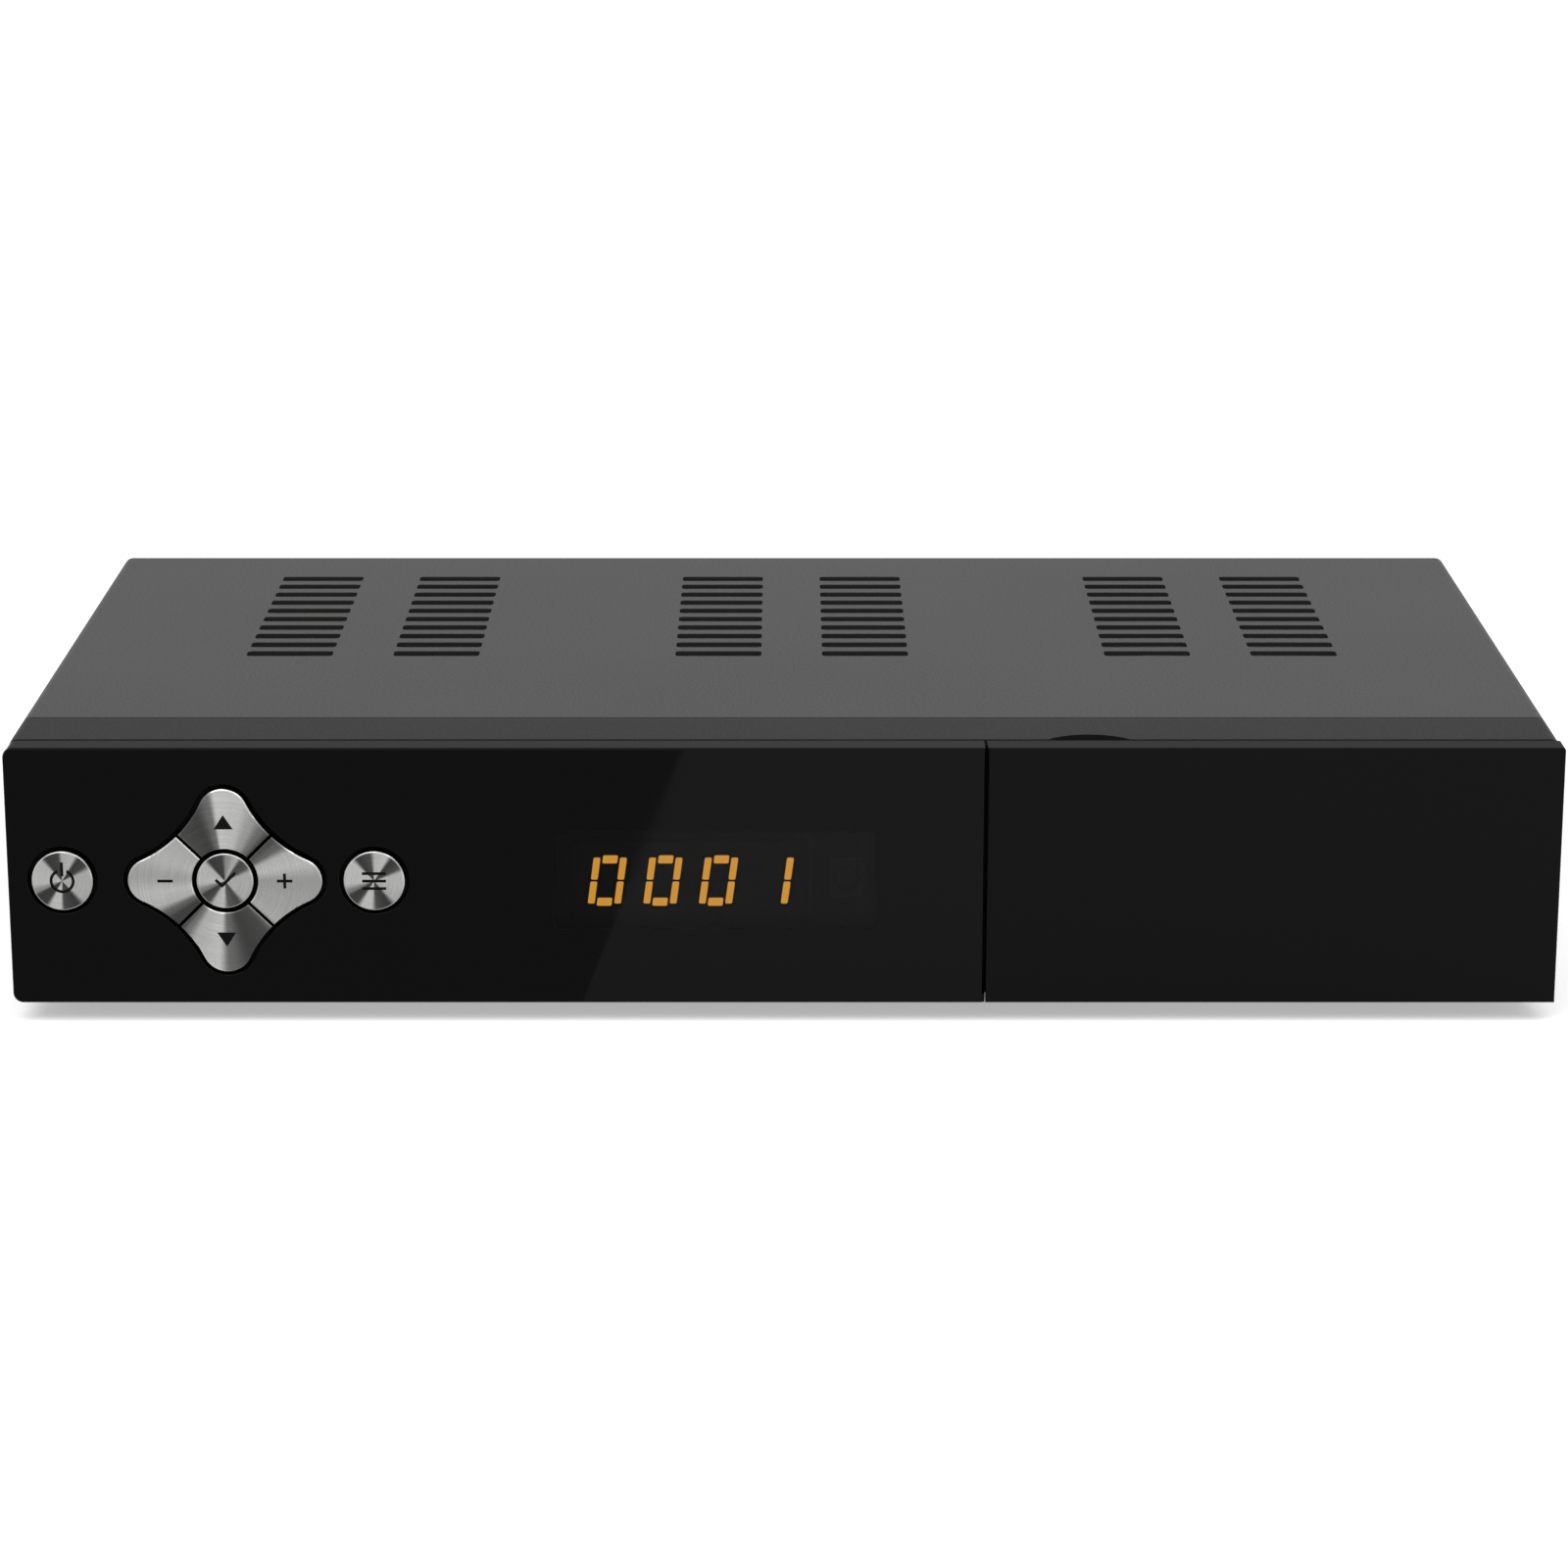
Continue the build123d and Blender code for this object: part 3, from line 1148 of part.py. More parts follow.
# ---- Screws ----
with BuildPart() as cover_screws:
    for x in rear_screw_x:
        row = case_height - back_flange / 2
        rod(x, (case_depth, case_depth + screw_head_height), row, screw_head)
        rod(x, (case_depth - screw_length, case_depth), row, screw_radius)
        for size_x, size_z in ((cross_length, cross_width), (cross_width, cross_length)):
            block(around(x, size_x), (case_depth + screw_head_height / 2, case_depth + screw_head_height),
                  around(row, size_z), mode=Mode.SUBTRACT)
    for side in (-1, 1):
        for depth in side_screw_depths:
            with Locations((side * (half_width - sheet / 2), y_at(depth), z_at(side_screw_height))):
                Cone(screw_head - sheet, screw_head, sheet, rotation=(0, side * 90, 0))
            shank_x = side * (half_width - sheet - screw_length / 2)
            axle(around(shank_x, screw_length), depth, side_screw_height, screw_radius)
            for size_y, size_z in ((cross_length, cross_width), (cross_width, cross_length)):
                block(around(side * half_width, sheet), around(depth, size_y),
                      around(side_screw_height, size_z), mode=Mode.SUBTRACT)

with BuildPart() as chassis_screws:
    for x in rear_screw_x:
        rod(x, (rear_face, rear_face + screw_head_height), low_screw_row, screw_head)
        rod(x, (rear_face - screw_length, rear_face), low_screw_row, screw_radius)
        post(x, frame_screw_depth, (-screw_head_height, 0), screw_head)
        post(x, frame_screw_depth, (0, frame_boss_top - edge_gap), screw_radius)
        for long_side, short_side in ((cross_length, cross_width), (cross_width, cross_length)):
            block(around(x, long_side),
                  (rear_face + screw_head_height / 2, rear_face + screw_head_height),
                  around(low_screw_row, short_side), mode=Mode.SUBTRACT)
            block(around(x, long_side), around(frame_screw_depth, short_side),
                  (-screw_head_height, -screw_head_height / 2), mode=Mode.SUBTRACT)

with BuildPart() as board_screws:
    for x, depth in main_screws + psu_screws:
        post(x, depth, (board_top, board_top + screw_head_height), screw_head)
        post(x, depth, (tray_sheet + edge_gap, board_top), screw_radius)
    for x, height in front_screws:
        rod(x, (board_front + pcb, board_front + pcb + screw_head_height), height, 2 * small_screw)
        rod(x, (wall_back + edge_gap, board_front + pcb), height, small_screw)

pieces = {
    "top_cover": top_cover, "base_tray": base_tray, "rear_panel": rear_panel,
    "rubber_feet": rubber_feet, "front_frame": front_frame, "front_plate": front_plate,
    "display_window": display_window, "flap_door": flap_door, "flap_hinge_rod": flap_hinge_rod,
    "flap_magnets": flap_magnets, "catch_plates": catch_plates, "tact_switches": tact_switches,
    "front_board": front_board, "display_module": display_module, "lit_segments": lit_segments,
    "infrared_eye": infrared_eye, "board_headers": board_headers, "front_ribbon": front_ribbon,
    "power_cable": power_cable, "main_board": main_board, "logic_chips": logic_chips,
    "processor_heat_sink": processor_heat_sink, "main_capacitors": main_capacitors,
    "tuner_can": tuner_can, "lnb_connectors": lnb_connectors, "lnb_nuts": lnb_nuts,
    "jack_insulators": jack_insulators, "phono_block": phono_block, "phono_sleeves": phono_sleeves,
    "hdmi_socket": hdmi_socket, "scart_socket": scart_socket, "usb_socket": usb_socket,
    "card_reader": card_reader, "psu_board": psu_board, "psu_transformer": psu_transformer,
    "psu_capacitors": psu_capacitors, "psu_choke": psu_choke, "psu_heat_sink": psu_heat_sink,
    "mains_fuse": mains_fuse, "ac_inlet": ac_inlet, "power_switch": power_switch,
    "power_rocker": power_rocker, "mains_leads": mains_leads, "cover_screws": cover_screws,
    "chassis_screws": chassis_screws, "board_screws": board_screws,
}
pieces.update(keys)
pieces.update(plungers)

for name, piece in pieces.items():
    piece.part.label = name
    export_step(piece.part, f"parts/{name}.step")
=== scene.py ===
import math
import random

import bmesh
import bpy
from mathutils import Matrix, Vector


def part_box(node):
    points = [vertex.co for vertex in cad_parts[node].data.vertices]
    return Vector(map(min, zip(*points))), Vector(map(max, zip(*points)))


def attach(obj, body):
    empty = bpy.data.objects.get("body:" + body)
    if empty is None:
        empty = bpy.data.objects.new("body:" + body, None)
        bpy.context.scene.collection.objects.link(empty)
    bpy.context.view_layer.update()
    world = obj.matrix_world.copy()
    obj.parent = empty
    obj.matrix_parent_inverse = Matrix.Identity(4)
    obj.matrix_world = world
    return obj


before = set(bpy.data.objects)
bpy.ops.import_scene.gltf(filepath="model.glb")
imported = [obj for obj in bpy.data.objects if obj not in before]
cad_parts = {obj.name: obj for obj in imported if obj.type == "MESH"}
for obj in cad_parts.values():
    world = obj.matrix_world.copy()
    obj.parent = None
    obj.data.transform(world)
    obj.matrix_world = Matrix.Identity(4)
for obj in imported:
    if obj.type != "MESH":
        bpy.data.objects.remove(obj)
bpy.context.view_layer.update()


# ---- Places of the part, in metres ----

def centre(node):
    low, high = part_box(node)
    return (low + high) / 2


FACE_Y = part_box("front_plate")[0].y     # glossy front face
CAP_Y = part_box("power_key")[0].y        # faces of the keys
KEY_Z = centre("ok_key").z              # centre line of the key row
POWER_X = centre("power_key").x
MENU_X = centre("menu_key").x
PAD_X = centre("ok_key").x
CAP_RADIUS = 0.00515            # power and menu keys
OK_RADIUS = 0.0048
NO_RIM = 1.0                    # a painted rim highlight this far from the centre never shows
MARK_REACH = 0.010              # marks of the pad keys from the pad's centre
ROUND_MARK = 0.0032             # half the side of the square that holds a round key's mark
OK_MARK = 0.003
PAD_MARK = 0.0022
MARK_DEPTH = 0.0001             # half the depth of the engraving
PLATING_DEPTH = 0.0004          # the bright plating ends here behind a key's face
RIM_TOP = 0.0478                # above this the plate and the flap are matt

# ---- Shades and finishes that several materials share ----

MARK_SHADE = 0.012              # engraved marks
BODY_SHADE = 0.006              # a key's plastic behind its plating
PAINTED_RIM_LIGHT = 0.5                 # painted highlight: thin bright rim around a key's face
RIM_START = 0.00032             # the painted rim highlight's inner and outer side, from the edge of the face
RIM_END = 0.00018
PAINTED_SHEEN_POWER = 1.8                  # how steeply the spun keys' painted sheen falls off, as a power
PAINTED_SHEEN = (0.05, 0.8)             # darkest and lightest painted sector of reflection on the spun keys
SCRATCH_SIZE = 0.00012
SCRATCH_TURN = 0.0006           # shift of the scratches in one turn, so that no ring is perfect
CORE = (0.3, 0.7)               # where most values of a noise lie
EDGE_BEND = 0.35                # fall of the dot product that counts as a full edge
EDGE_FLAT = 0.995               # above this a surface is flat
TRACK_STEP = (0.5, 0.53)        # the steep step of a noise that draws the tracks


# ---- Materials ----

SOCKETS = {
    "colour": "Base Color", "metal": "Metallic", "rough": "Roughness", "alpha": "Alpha",
    "normal": "Normal", "specular": "Specular IOR Level", "glow": "Emission Color",
    "glow_strength": "Emission Strength",
}


def rgba(colour):
    """A colour given as one level or as three."""
    if isinstance(colour, (int, float)):
        colour = (colour,) * 3
    return (*colour[:3], 1.0)


class Finish:
    """One procedural material. What is plain is set on the shader's own sockets."""

    def __init__(self, slot, **plain):
        self.slot = slot
        self.material = bpy.data.materials.new(slot + "_finish")
        self.material.use_nodes = True
        self.tree = self.material.node_tree
        self.surface = self.tree.nodes["Principled BSDF"]
        self.place = self.add("ShaderNodeTexCoord").outputs["Object"]
        self.set(**plain)

    def add(self, kind, **settings):
        node = self.tree.nodes.new(kind)
        for name, value in settings.items():
            setattr(node, name, value)
        return node

    def feed(self, socket, value):
        """Links an output to a socket, or writes a number or colour on it."""
        if isinstance(value, bpy.types.NodeSocket):
            self.tree.links.new(value, socket)
        else:
            socket.default_value = value

    def set(self, **values):
        for name, value in values.items():
            self.feed(self.surface.inputs[SOCKETS[name]], value)

    def maths(self, operation, *values, clamp=False):
        node = self.add("ShaderNodeMath", operation=operation, use_clamp=clamp)
        for socket, value in zip(node.inputs, values):
            self.feed(socket, value)
        return node.outputs["Value"]

    def span(self, value, low, high, start=0.0, end=1.0):
        """Maps start to end onto low to high, and holds it there."""
        node = self.add("ShaderNodeMapRange", clamp=True)
        for name, number in (("Value", value), ("From Min", start), ("From Max", end),
                             ("To Min", low), ("To Max", high)):
            self.feed(node.inputs[name], number)
        return node.outputs["Result"]

    def mix(self, factor, first, second):
        node = self.add("ShaderNodeMix", data_type="RGBA")
        self.feed(node.inputs["Factor"], factor)
        colour_inputs = [socket for socket in node.inputs if socket.type == "RGBA"]
        for socket, colour in zip(colour_inputs, (first, second)):
            self.feed(socket, colour if isinstance(colour, bpy.types.NodeSocket) else rgba(colour))
        return next(socket for socket in node.outputs if socket.type == "RGBA")

    def stretched(self, amounts):
        node = self.add("ShaderNodeVectorMath", operation="MULTIPLY")
        self.feed(node.inputs[0], self.place)
        node.inputs[1].default_value = amounts
        return node.outputs["Vector"]

    def noise(self, size, detail=3.0, along=None, vector=None):
        """Noise whose lumps are about size metres, longer along an axis where along says so."""
        node = self.add("ShaderNodeTexNoise")
        if vector is None:
            vector = self.stretched(along) if along else self.place
        self.feed(node.inputs["Vector"], vector)
        node.inputs["Scale"].default_value = 1.0 / size
        node.inputs["Detail"].default_value = detail
        return node.outputs["Fac"]

    def cells(self, size):
        node = self.add("ShaderNodeTexVoronoi")
        self.feed(node.inputs["Vector"], self.place)
        node.inputs["Scale"].default_value = 1.0 / size
        return node.outputs["Color"]

    def ramp(self, factor, stops):
        """Soft steps between the levels of the stops."""
        node = self.add("ShaderNodeValToRGB")
        self.feed(node.inputs["Fac"], factor)
        node.color_ramp.interpolation = "EASE"
        elements = node.color_ramp.elements
        while len(elements) < len(stops):
            elements.new(0.5)
        for element, (where, level) in zip(elements, stops):
            element.position = where
        for element, (where, level) in zip(elements, stops):
            element.color = rgba(level)
        return node.outputs["Color"]

    def axis(self, name):
        node = self.add("ShaderNodeSeparateXYZ")
        self.feed(node.inputs["Vector"], self.place)
        return node.outputs[name]

    def polar(self, x, z):
        """Turn from +X, 0 to 1 anticlockwise seen from the front, and the distance from a centre."""
        across = self.maths("SUBTRACT", self.axis("X"), x)
        up = self.maths("SUBTRACT", self.axis("Z"), z)
        angle = self.maths("ARCTAN2", up, across)
        turn = self.maths("FRACT", self.maths("DIVIDE", angle, math.tau))
        reach = self.maths("SQRT", self.maths("ADD", self.maths("MULTIPLY", across, across),
                                              self.maths("MULTIPLY", up, up)))
        return turn, reach

    def edges(self, radius, share):
        """The given share along the edges of the form, falling to 0 on its flats."""
        bevel = self.add("ShaderNodeBevel", samples=4)
        bevel.inputs["Radius"].default_value = radius
        facing = self.add("ShaderNodeVectorMath", operation="DOT_PRODUCT")
        self.feed(facing.inputs[0], bevel.outputs["Normal"])
        self.feed(facing.inputs[1], self.add("ShaderNodeNewGeometry").outputs["Normal"])
        sharpness = self.span(facing.outputs["Value"], 1.0, 0.0, 1.0 - EDGE_BEND, EDGE_FLAT)
        return self.maths("MULTIPLY", sharpness, share)

    def bump(self, height, depth, strength):
        """Adds relief of that depth in metres to what is there."""
        node = self.add("ShaderNodeBump")
        node.inputs["Strength"].default_value = strength
        node.inputs["Distance"].default_value = depth
        self.feed(node.inputs["Height"], height)
        socket = self.surface.inputs["Normal"]
        if socket.is_linked:
            self.feed(node.inputs["Normal"], socket.links[0].from_socket)
        self.set(normal=node.outputs["Normal"])


made = {}


def keep(finish):
    made[finish.slot] = finish.material


def moulded(slot, colour, other, rough, grain, depth, metal=0.0, specular=0.5, wear=None, along=None):
    """A plain finish: two shades drifting into each other, roughness that varies and a fine grain."""
    finish = Finish(slot, metal=metal, specular=specular)
    drift = finish.noise(grain * 14, 2.0)
    shade = finish.mix(finish.span(drift, 0.0, 1.0, *CORE), colour, other)
    if wear is not None:
        shade = finish.mix(finish.edges(grain * 1.5, 0.5), shade, wear)
    fine = finish.noise(grain, 4.0, along)
    finish.set(colour=shade, rough=finish.span(fine, *rough, 0.25, 0.75))
    finish.bump(fine, depth, 0.6)
    keep(finish)


# ---- Spun metal of the keys, with painted sheen and a painted rim highlight ----

def engraved(finish, shade, x, z, reach):
    """Darkens a key's sunk marks: what lies below its face, within reach of a place."""
    inside = finish.maths("GREATER_THAN", finish.axis("Y"), CAP_Y + MARK_DEPTH)
    for name, middle in (("X", x), ("Z", z)):
        above = finish.maths("GREATER_THAN", finish.axis(name), middle - reach)
        inside = finish.maths("MULTIPLY", inside, above)
        below = finish.maths("LESS_THAN", finish.axis(name), middle + reach)
        inside = finish.maths("MULTIPLY", inside, below)
    return finish.mix(inside, shade, MARK_SHADE)


def spun_with_painted_sheen(slot, x, radius, stops):
    """Spun metal: painted light and dark sectors of reflection around a centre, and a painted bright rim,
    over fine circular scratches.
    """
    finish = Finish(slot, metal=1.0, specular=0.5)
    turn, reach = finish.polar(x, KEY_Z)
    # Painted sheen: lit and dark sectors of reflection are painted into the colour by turn around the
    # centre.
    painted_sheen = finish.maths("POWER", finish.ramp(turn, stops), PAINTED_SHEEN_POWER)
    ring_place = finish.add("ShaderNodeCombineXYZ")
    finish.feed(ring_place.inputs["X"], reach)
    finish.feed(ring_place.inputs["Y"], finish.maths("MULTIPLY", turn, SCRATCH_TURN))
    scratch = finish.noise(SCRATCH_SIZE, 3.0, vector=ring_place.outputs["Vector"])
    painted_light = finish.maths("MULTIPLY", finish.span(painted_sheen, *PAINTED_SHEEN), finish.span(scratch, 0.9, 1.08, *CORE))
    painted_tone = finish.add("ShaderNodeCombineColor")
    for name, share in (("Red", 1.0), ("Green", 1.0), ("Blue", 0.985)):
        finish.feed(painted_tone.inputs[name], finish.maths("MULTIPLY", painted_light, share))
    # Painted highlight: a thin bright rim painted just inside the edge of the face.
    painted_rim = finish.span(reach, 0.0, 0.7, radius - RIM_START, radius - RIM_END)
    shade = finish.mix(painted_rim, painted_tone.outputs["Color"], PAINTED_RIM_LIGHT)
    behind_plating = finish.maths("GREATER_THAN", finish.axis("Y"), CAP_Y + PLATING_DEPTH)
    shade = finish.mix(behind_plating, shade, BODY_SHADE)
    finish.set(rough=finish.span(scratch, 0.24, 0.34, *CORE))
    finish.bump(scratch, 0.000004, 0.7)
    return finish, shade


def wheel(*stops):
    """Stops given in degrees become turns."""
    return [(degrees / 360.0, level) for degrees, level in stops]


def round_key(slot, x, radius, mark_reach, stops):
    finish, shade = spun_with_painted_sheen(slot, x, radius, stops)
    finish.set(colour=engraved(finish, shade, x, KEY_Z, mark_reach))
    keep(finish)


def pad_keys(stops):
    """The four keys around the middle one, each with a mark of its own."""
    finish, shade = spun_with_painted_sheen("pad_key_metal", PAD_X, NO_RIM, stops)
    for dx, dz in ((MARK_REACH, 0), (-MARK_REACH, 0), (0, MARK_REACH), (0, -MARK_REACH)):
        shade = engraved(finish, shade, PAD_X + dx, KEY_Z + dz, PAD_MARK)
    finish.set(colour=shade)
    keep(finish)


# Each wheel lists levels of painted sheen, lit and dark sectors of reflection, at turns in degrees.
round_key("power_key_metal", POWER_X, CAP_RADIUS, ROUND_MARK, wheel(
    (0, .8), (20, .8), (36, .15), (52, .1), (64, .85), (88, .8), (98, .15), (122, .1), (136, .85),
    (185, .9), (203, .6), (212, .1), (232, .1), (246, .9), (264, .9), (274, .2), (302, .1),
    (318, .8), (360, .8)))
round_key("menu_key_metal", MENU_X, CAP_RADIUS, ROUND_MARK, wheel(
    (0, .85), (16, .85), (30, .2), (50, .1), (62, .9), (86, .85), (100, .2), (124, .1), (138, .9),
    (186, .9), (204, .5), (214, .1), (230, .15), (244, .9), (262, .9), (276, .2), (300, .1),
    (316, .8), (360, .85)))
round_key("ok_key_metal", PAD_X, OK_RADIUS, OK_MARK, wheel(
    (0, .8), (18, .8), (34, .25), (50, .2), (62, .8), (84, .6), (98, .15), (124, .1), (138, .85),
    (184, .9), (204, .5), (214, .15), (230, .2), (244, .85), (264, .9), (278, .3), (300, .2),
    (316, .8), (360, .8)))
pad_keys(wheel(
    (0, .7), (14, .9), (24, .85), (33, .35), (43, .2), (47, .2), (54, .4), (66, .7), (78, .9),
    (95, .95), (100, .4), (112, .15), (130, .2), (134, .35), (137, .8), (160, .85), (176, .75),
    (190, .9), (201, .85), (209, .35), (217, .15), (226, .15), (233, .45), (243, .85), (264, .95),
    (272, .4), (288, .15), (306, .2), (314, .4), (320, .8), (342, .75), (360, .7)))


# ---- Case, front and display ----

def cover_paint():
    """Satin black paint over steel, seen pale at low angles."""
    paint = Finish("cover_paint", metal=0.0, specular=0.25)
    speckle = paint.noise(0.0005, 3.0)
    cloud = paint.noise(0.06, 2.0)
    flat = paint.mix(paint.span(cloud, 0.0, 1.0, *CORE), 0.013, 0.018)
    paint.set(colour=paint.mix(paint.edges(0.0005, 0.45), flat, 0.06),
              rough=paint.span(speckle, 0.44, 0.54, *CORE))
    paint.bump(speckle, 0.00002, 0.5)
    keep(paint)


def glossy_front(slot, specular):
    """Polished black with a little dust, matt on its upper rim."""
    gloss = Finish(slot, metal=0.0, specular=specular)
    haze = gloss.noise(0.02, 4.0)
    dust = gloss.noise(0.0004, 5.0)
    matt = gloss.maths("MULTIPLY", gloss.maths("GREATER_THAN", gloss.axis("Z"), RIM_TOP), 0.55)
    flat = gloss.mix(gloss.span(dust, 0.0, 1.0, 0.62, 0.75), 0.0016, 0.0022)
    gloss.set(colour=gloss.mix(gloss.edges(0.0003, 0.6), flat, 0.012),
              rough=gloss.maths("MAXIMUM", gloss.span(haze, 0.04, 0.08, *CORE), matt))
    gloss.bump(gloss.noise(0.012, 2.0), 0.000004, 0.25)
    keep(gloss)


def smoked_window():
    """Flush with the plate and nearly as black."""
    smoke = Finish("smoked_window", metal=0.0, specular=0.15, alpha=0.6)
    haze = smoke.noise(0.02, 4.0)
    smoke.set(colour=smoke.mix(haze, 0.0014, 0.002), rough=smoke.span(haze, 0.04, 0.08, *CORE))
    keep(smoke)


def frame_plastic():
    """Fine matt plastic behind the plate."""
    grain = Finish("frame_plastic", metal=0.0, specular=0.06)
    pits = grain.noise(0.00035, 4.0)
    flat = grain.mix(grain.noise(0.03), 0.011, 0.016)
    grain.set(colour=grain.mix(grain.edges(0.0004, 0.4), flat, 0.035),
              rough=grain.span(pits, 0.45, 0.58, *CORE))
    grain.bump(pits, 0.00002, 0.5)
    keep(grain)


cover_paint()
glossy_front("plate_gloss", 0.087)
glossy_front("flap_gloss", 0.07)
smoked_window()
frame_plastic()
keep(Finish("lit_amber", metal=0.0, rough=0.4, colour=rgba((0.35, 0.13, 0.01)),
            glow=rgba((1.0, 0.47, 0.062)), glow_strength=3.5))

# Everything plain: slot, two shades, roughness, grain size, relief, and what differs
PLAIN = (
    ("display_body", 0.002, 0.003, (0.5, 0.6), 0.0004, 0.00001, {"specular": 0.2}),
    ("eye_plastic", (0.010, 0.004, 0.004), (0.016, 0.006, 0.006), (0.08, 0.16), 0.0006, 0.000004, {}),
    ("black_plastic", 0.010, 0.017, (0.38, 0.52), 0.0004, 0.00002, {"wear": 0.04}),
    ("inlet_plastic", 0.009, 0.015, (0.42, 0.55), 0.0004, 0.00002, {"wear": 0.04}),
    ("rocker_plastic", 0.010, 0.014, (0.28, 0.4), 0.0003, 0.00001, {"wear": 0.04}),
    ("plunger_plastic", 0.62, 0.56, (0.4, 0.55), 0.0004, 0.00001, {}),
    ("white_plastic", 0.68, 0.6, (0.4, 0.5), 0.0004, 0.00001, {}),
    ("chip_plastic", 0.014, 0.022, (0.5, 0.65), 0.0003, 0.00002, {}),
    ("foot_rubber", 0.012, 0.020, (0.75, 0.9), 0.0005, 0.00005, {"specular": 0.3}),
    ("zinc_steel", 0.40, 0.48, (0.34, 0.5), 0.0009, 0.00001, {"metal": 1.0}),
    ("panel_steel", 0.44, 0.48, (0.36, 0.44), 0.0006, 0.00001, {"metal": 1.0, "along": (0.05, 1, 1)}),
    ("bright_steel", 0.26, 0.34, (0.28, 0.4), 0.0003, 0.00001, {"metal": 1.0}),
    ("nickel_plate", (0.55, 0.52, 0.46), (0.46, 0.43, 0.38), (0.14, 0.26), 0.0003, 0.000005, {"metal": 1.0}),
    ("tinned_steel", 0.60, 0.70, (0.28, 0.42), 0.001, 0.00001, {"metal": 1.0}),
    ("socket_steel", 0.60, 0.68, (0.25, 0.36), 0.0006, 0.00001, {"metal": 1.0}),
    ("reader_steel", 0.58, 0.66, (0.3, 0.42), 0.0006, 0.00001, {"metal": 1.0}),
    ("black_screw", 0.02, 0.035, (0.3, 0.42), 0.0003, 0.00001, {"metal": 0.6, "wear": 0.2}),
    ("sink_aluminium", 0.022, 0.032, (0.4, 0.55), 0.0005, 0.00002, {"along": (1, 1, 0.05)}),
    ("capacitor_sleeve", (0.012, 0.016, 0.03), (0.018, 0.022, 0.04), (0.3, 0.42), 0.0006, 0.00001, {}),
    ("ribbon_plastic", 0.6, 0.52, (0.4, 0.5), 0.0005, 0.00001, {}),
    ("cable_yellow", (0.75, 0.48, 0.03), (0.66, 0.41, 0.02), (0.4, 0.55), 0.0005, 0.00001, {}),
    ("lead_brown", (0.10, 0.032, 0.012), (0.075, 0.024, 0.01), (0.42, 0.55), 0.0005, 0.00001, {}),
    ("transformer_tape", (0.72, 0.55, 0.05), (0.62, 0.46, 0.03), (0.3, 0.45), 0.0008, 0.00002, {}),
    ("ferrite", 0.025, 0.04, (0.5, 0.7), 0.0004, 0.00003, {}),
    ("fuse_ceramic", (0.7, 0.68, 0.62), (0.62, 0.6, 0.54), (0.3, 0.45), 0.0004, 0.00001, {}),
)
for slot, colour, other, rough, size, depth, rest in PLAIN:
    moulded(slot, colour, other, rough, size, depth, **rest)


# ---- Boards and phono rings ----

def laminate(slot, base, track):
    """A circuit board with copper tracks under its lacquer."""
    board = Finish(slot, metal=0.0, specular=0.5)
    patch = board.cells(0.004)
    lines = board.span(board.noise(0.0012, 1.0, (1.0, 0.25, 1.0)), 0.0, 1.0, *TRACK_STEP)
    board.set(colour=board.mix(board.maths("MULTIPLY", lines, patch), base, track),
              rough=board.span(board.noise(0.0006), 0.28, 0.42))
    board.bump(lines, 0.00003, 0.6)
    keep(board)


def phono_rings(colour, steps):
    """One plain colour for each ring. A step gives the X from which its colour holds."""
    rings = Finish("insulator_plastic", metal=0.0, specular=0.5)
    across = rings.axis("X")
    for start, other in steps:
        colour = rings.mix(rings.maths("GREATER_THAN", across, start), colour, other)
    rings.set(colour=colour, rough=rings.span(rings.noise(0.0005), 0.3, 0.42))
    rings.bump(rings.noise(0.0004), 0.00001, 0.5)
    keep(rings)


laminate("circuit_board", (0.012, 0.07, 0.025), (0.03, 0.13, 0.05))
laminate("supply_board", (0.20, 0.13, 0.05), (0.30, 0.20, 0.08))
phono_rings((0.70, 0.50, 0.02), ((0.027, 0.66), (0.039, (0.48, 0.018, 0.014)), (0.06, 0.72)))

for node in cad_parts.values():
    for slot in node.material_slots:
        slot.material = made[slot.material.name.split(".")[0]]


# ---- Small parts soldered to the main board, where it is bare ----

BELOW_COVER = 0.0465
DOWN = Vector((0, 0, -1))
SEED = 5
TRIES = 420
BOARD_MARGIN = 0.004
PART_PITCH = 0.0042             # least distance between two parts
PART_CLEARANCE = 0.0024         # bare board that a part needs around its centre
PART_LENGTHS = (0.0016, 0.002, 0.0032)
PART_BREADTH = 0.52             # shares of a part's length
PART_HEIGHT = 0.32
BODY_LENGTH = 0.7
END_LENGTH = 0.18
END_PLACE = 0.42
END_SWELL = 1.06                # the tinned ends stand out over the body by this factor
BEVEL_SHARE = 0.12
SAME_LEVEL = 0.0002

board_low, board_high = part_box("main_board")
board_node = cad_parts["main_board"]
neighbours = [node for name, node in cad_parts.items() if name not in ("main_board", "top_cover")]
bpy.context.view_layer.update()


def bare(x, y, reach):
    """Whether nothing stands on the board within reach of a place."""
    for dx in (-reach, 0, reach):
        for dy in (-reach, 0, reach):
            start = Vector((x + dx, y + dy, BELOW_COVER))
            if not board_node.ray_cast(start, DOWN)[0]:
                return False
            for node in neighbours:
                hit, place = node.ray_cast(start, DOWN)[:2]
                if hit and place.z > board_high.z - SAME_LEVEL:
                    return False
    return True


def cube(form, middle, size, turn=Matrix()):
    matrix = Matrix.Translation(middle) @ turn @ Matrix.Diagonal((*size, 1.0))
    return bmesh.ops.create_cube(form, size=1.0, matrix=matrix)["verts"]


def brick(form, x, y, size, quarter):
    """A box on the board with its edges taken off, turned a quarter where asked."""
    turn = Matrix.Rotation(math.pi / 2 * quarter, 4, "Z")
    corners = cube(form, Vector((x, y, board_high.z + size[2] / 2)), size, turn)
    edges = {edge for corner in corners for edge in corner.link_edges}
    bmesh.ops.bevel(form, geom=list(edges), offset=min(size) * BEVEL_SHARE, segments=2, affect="EDGES")


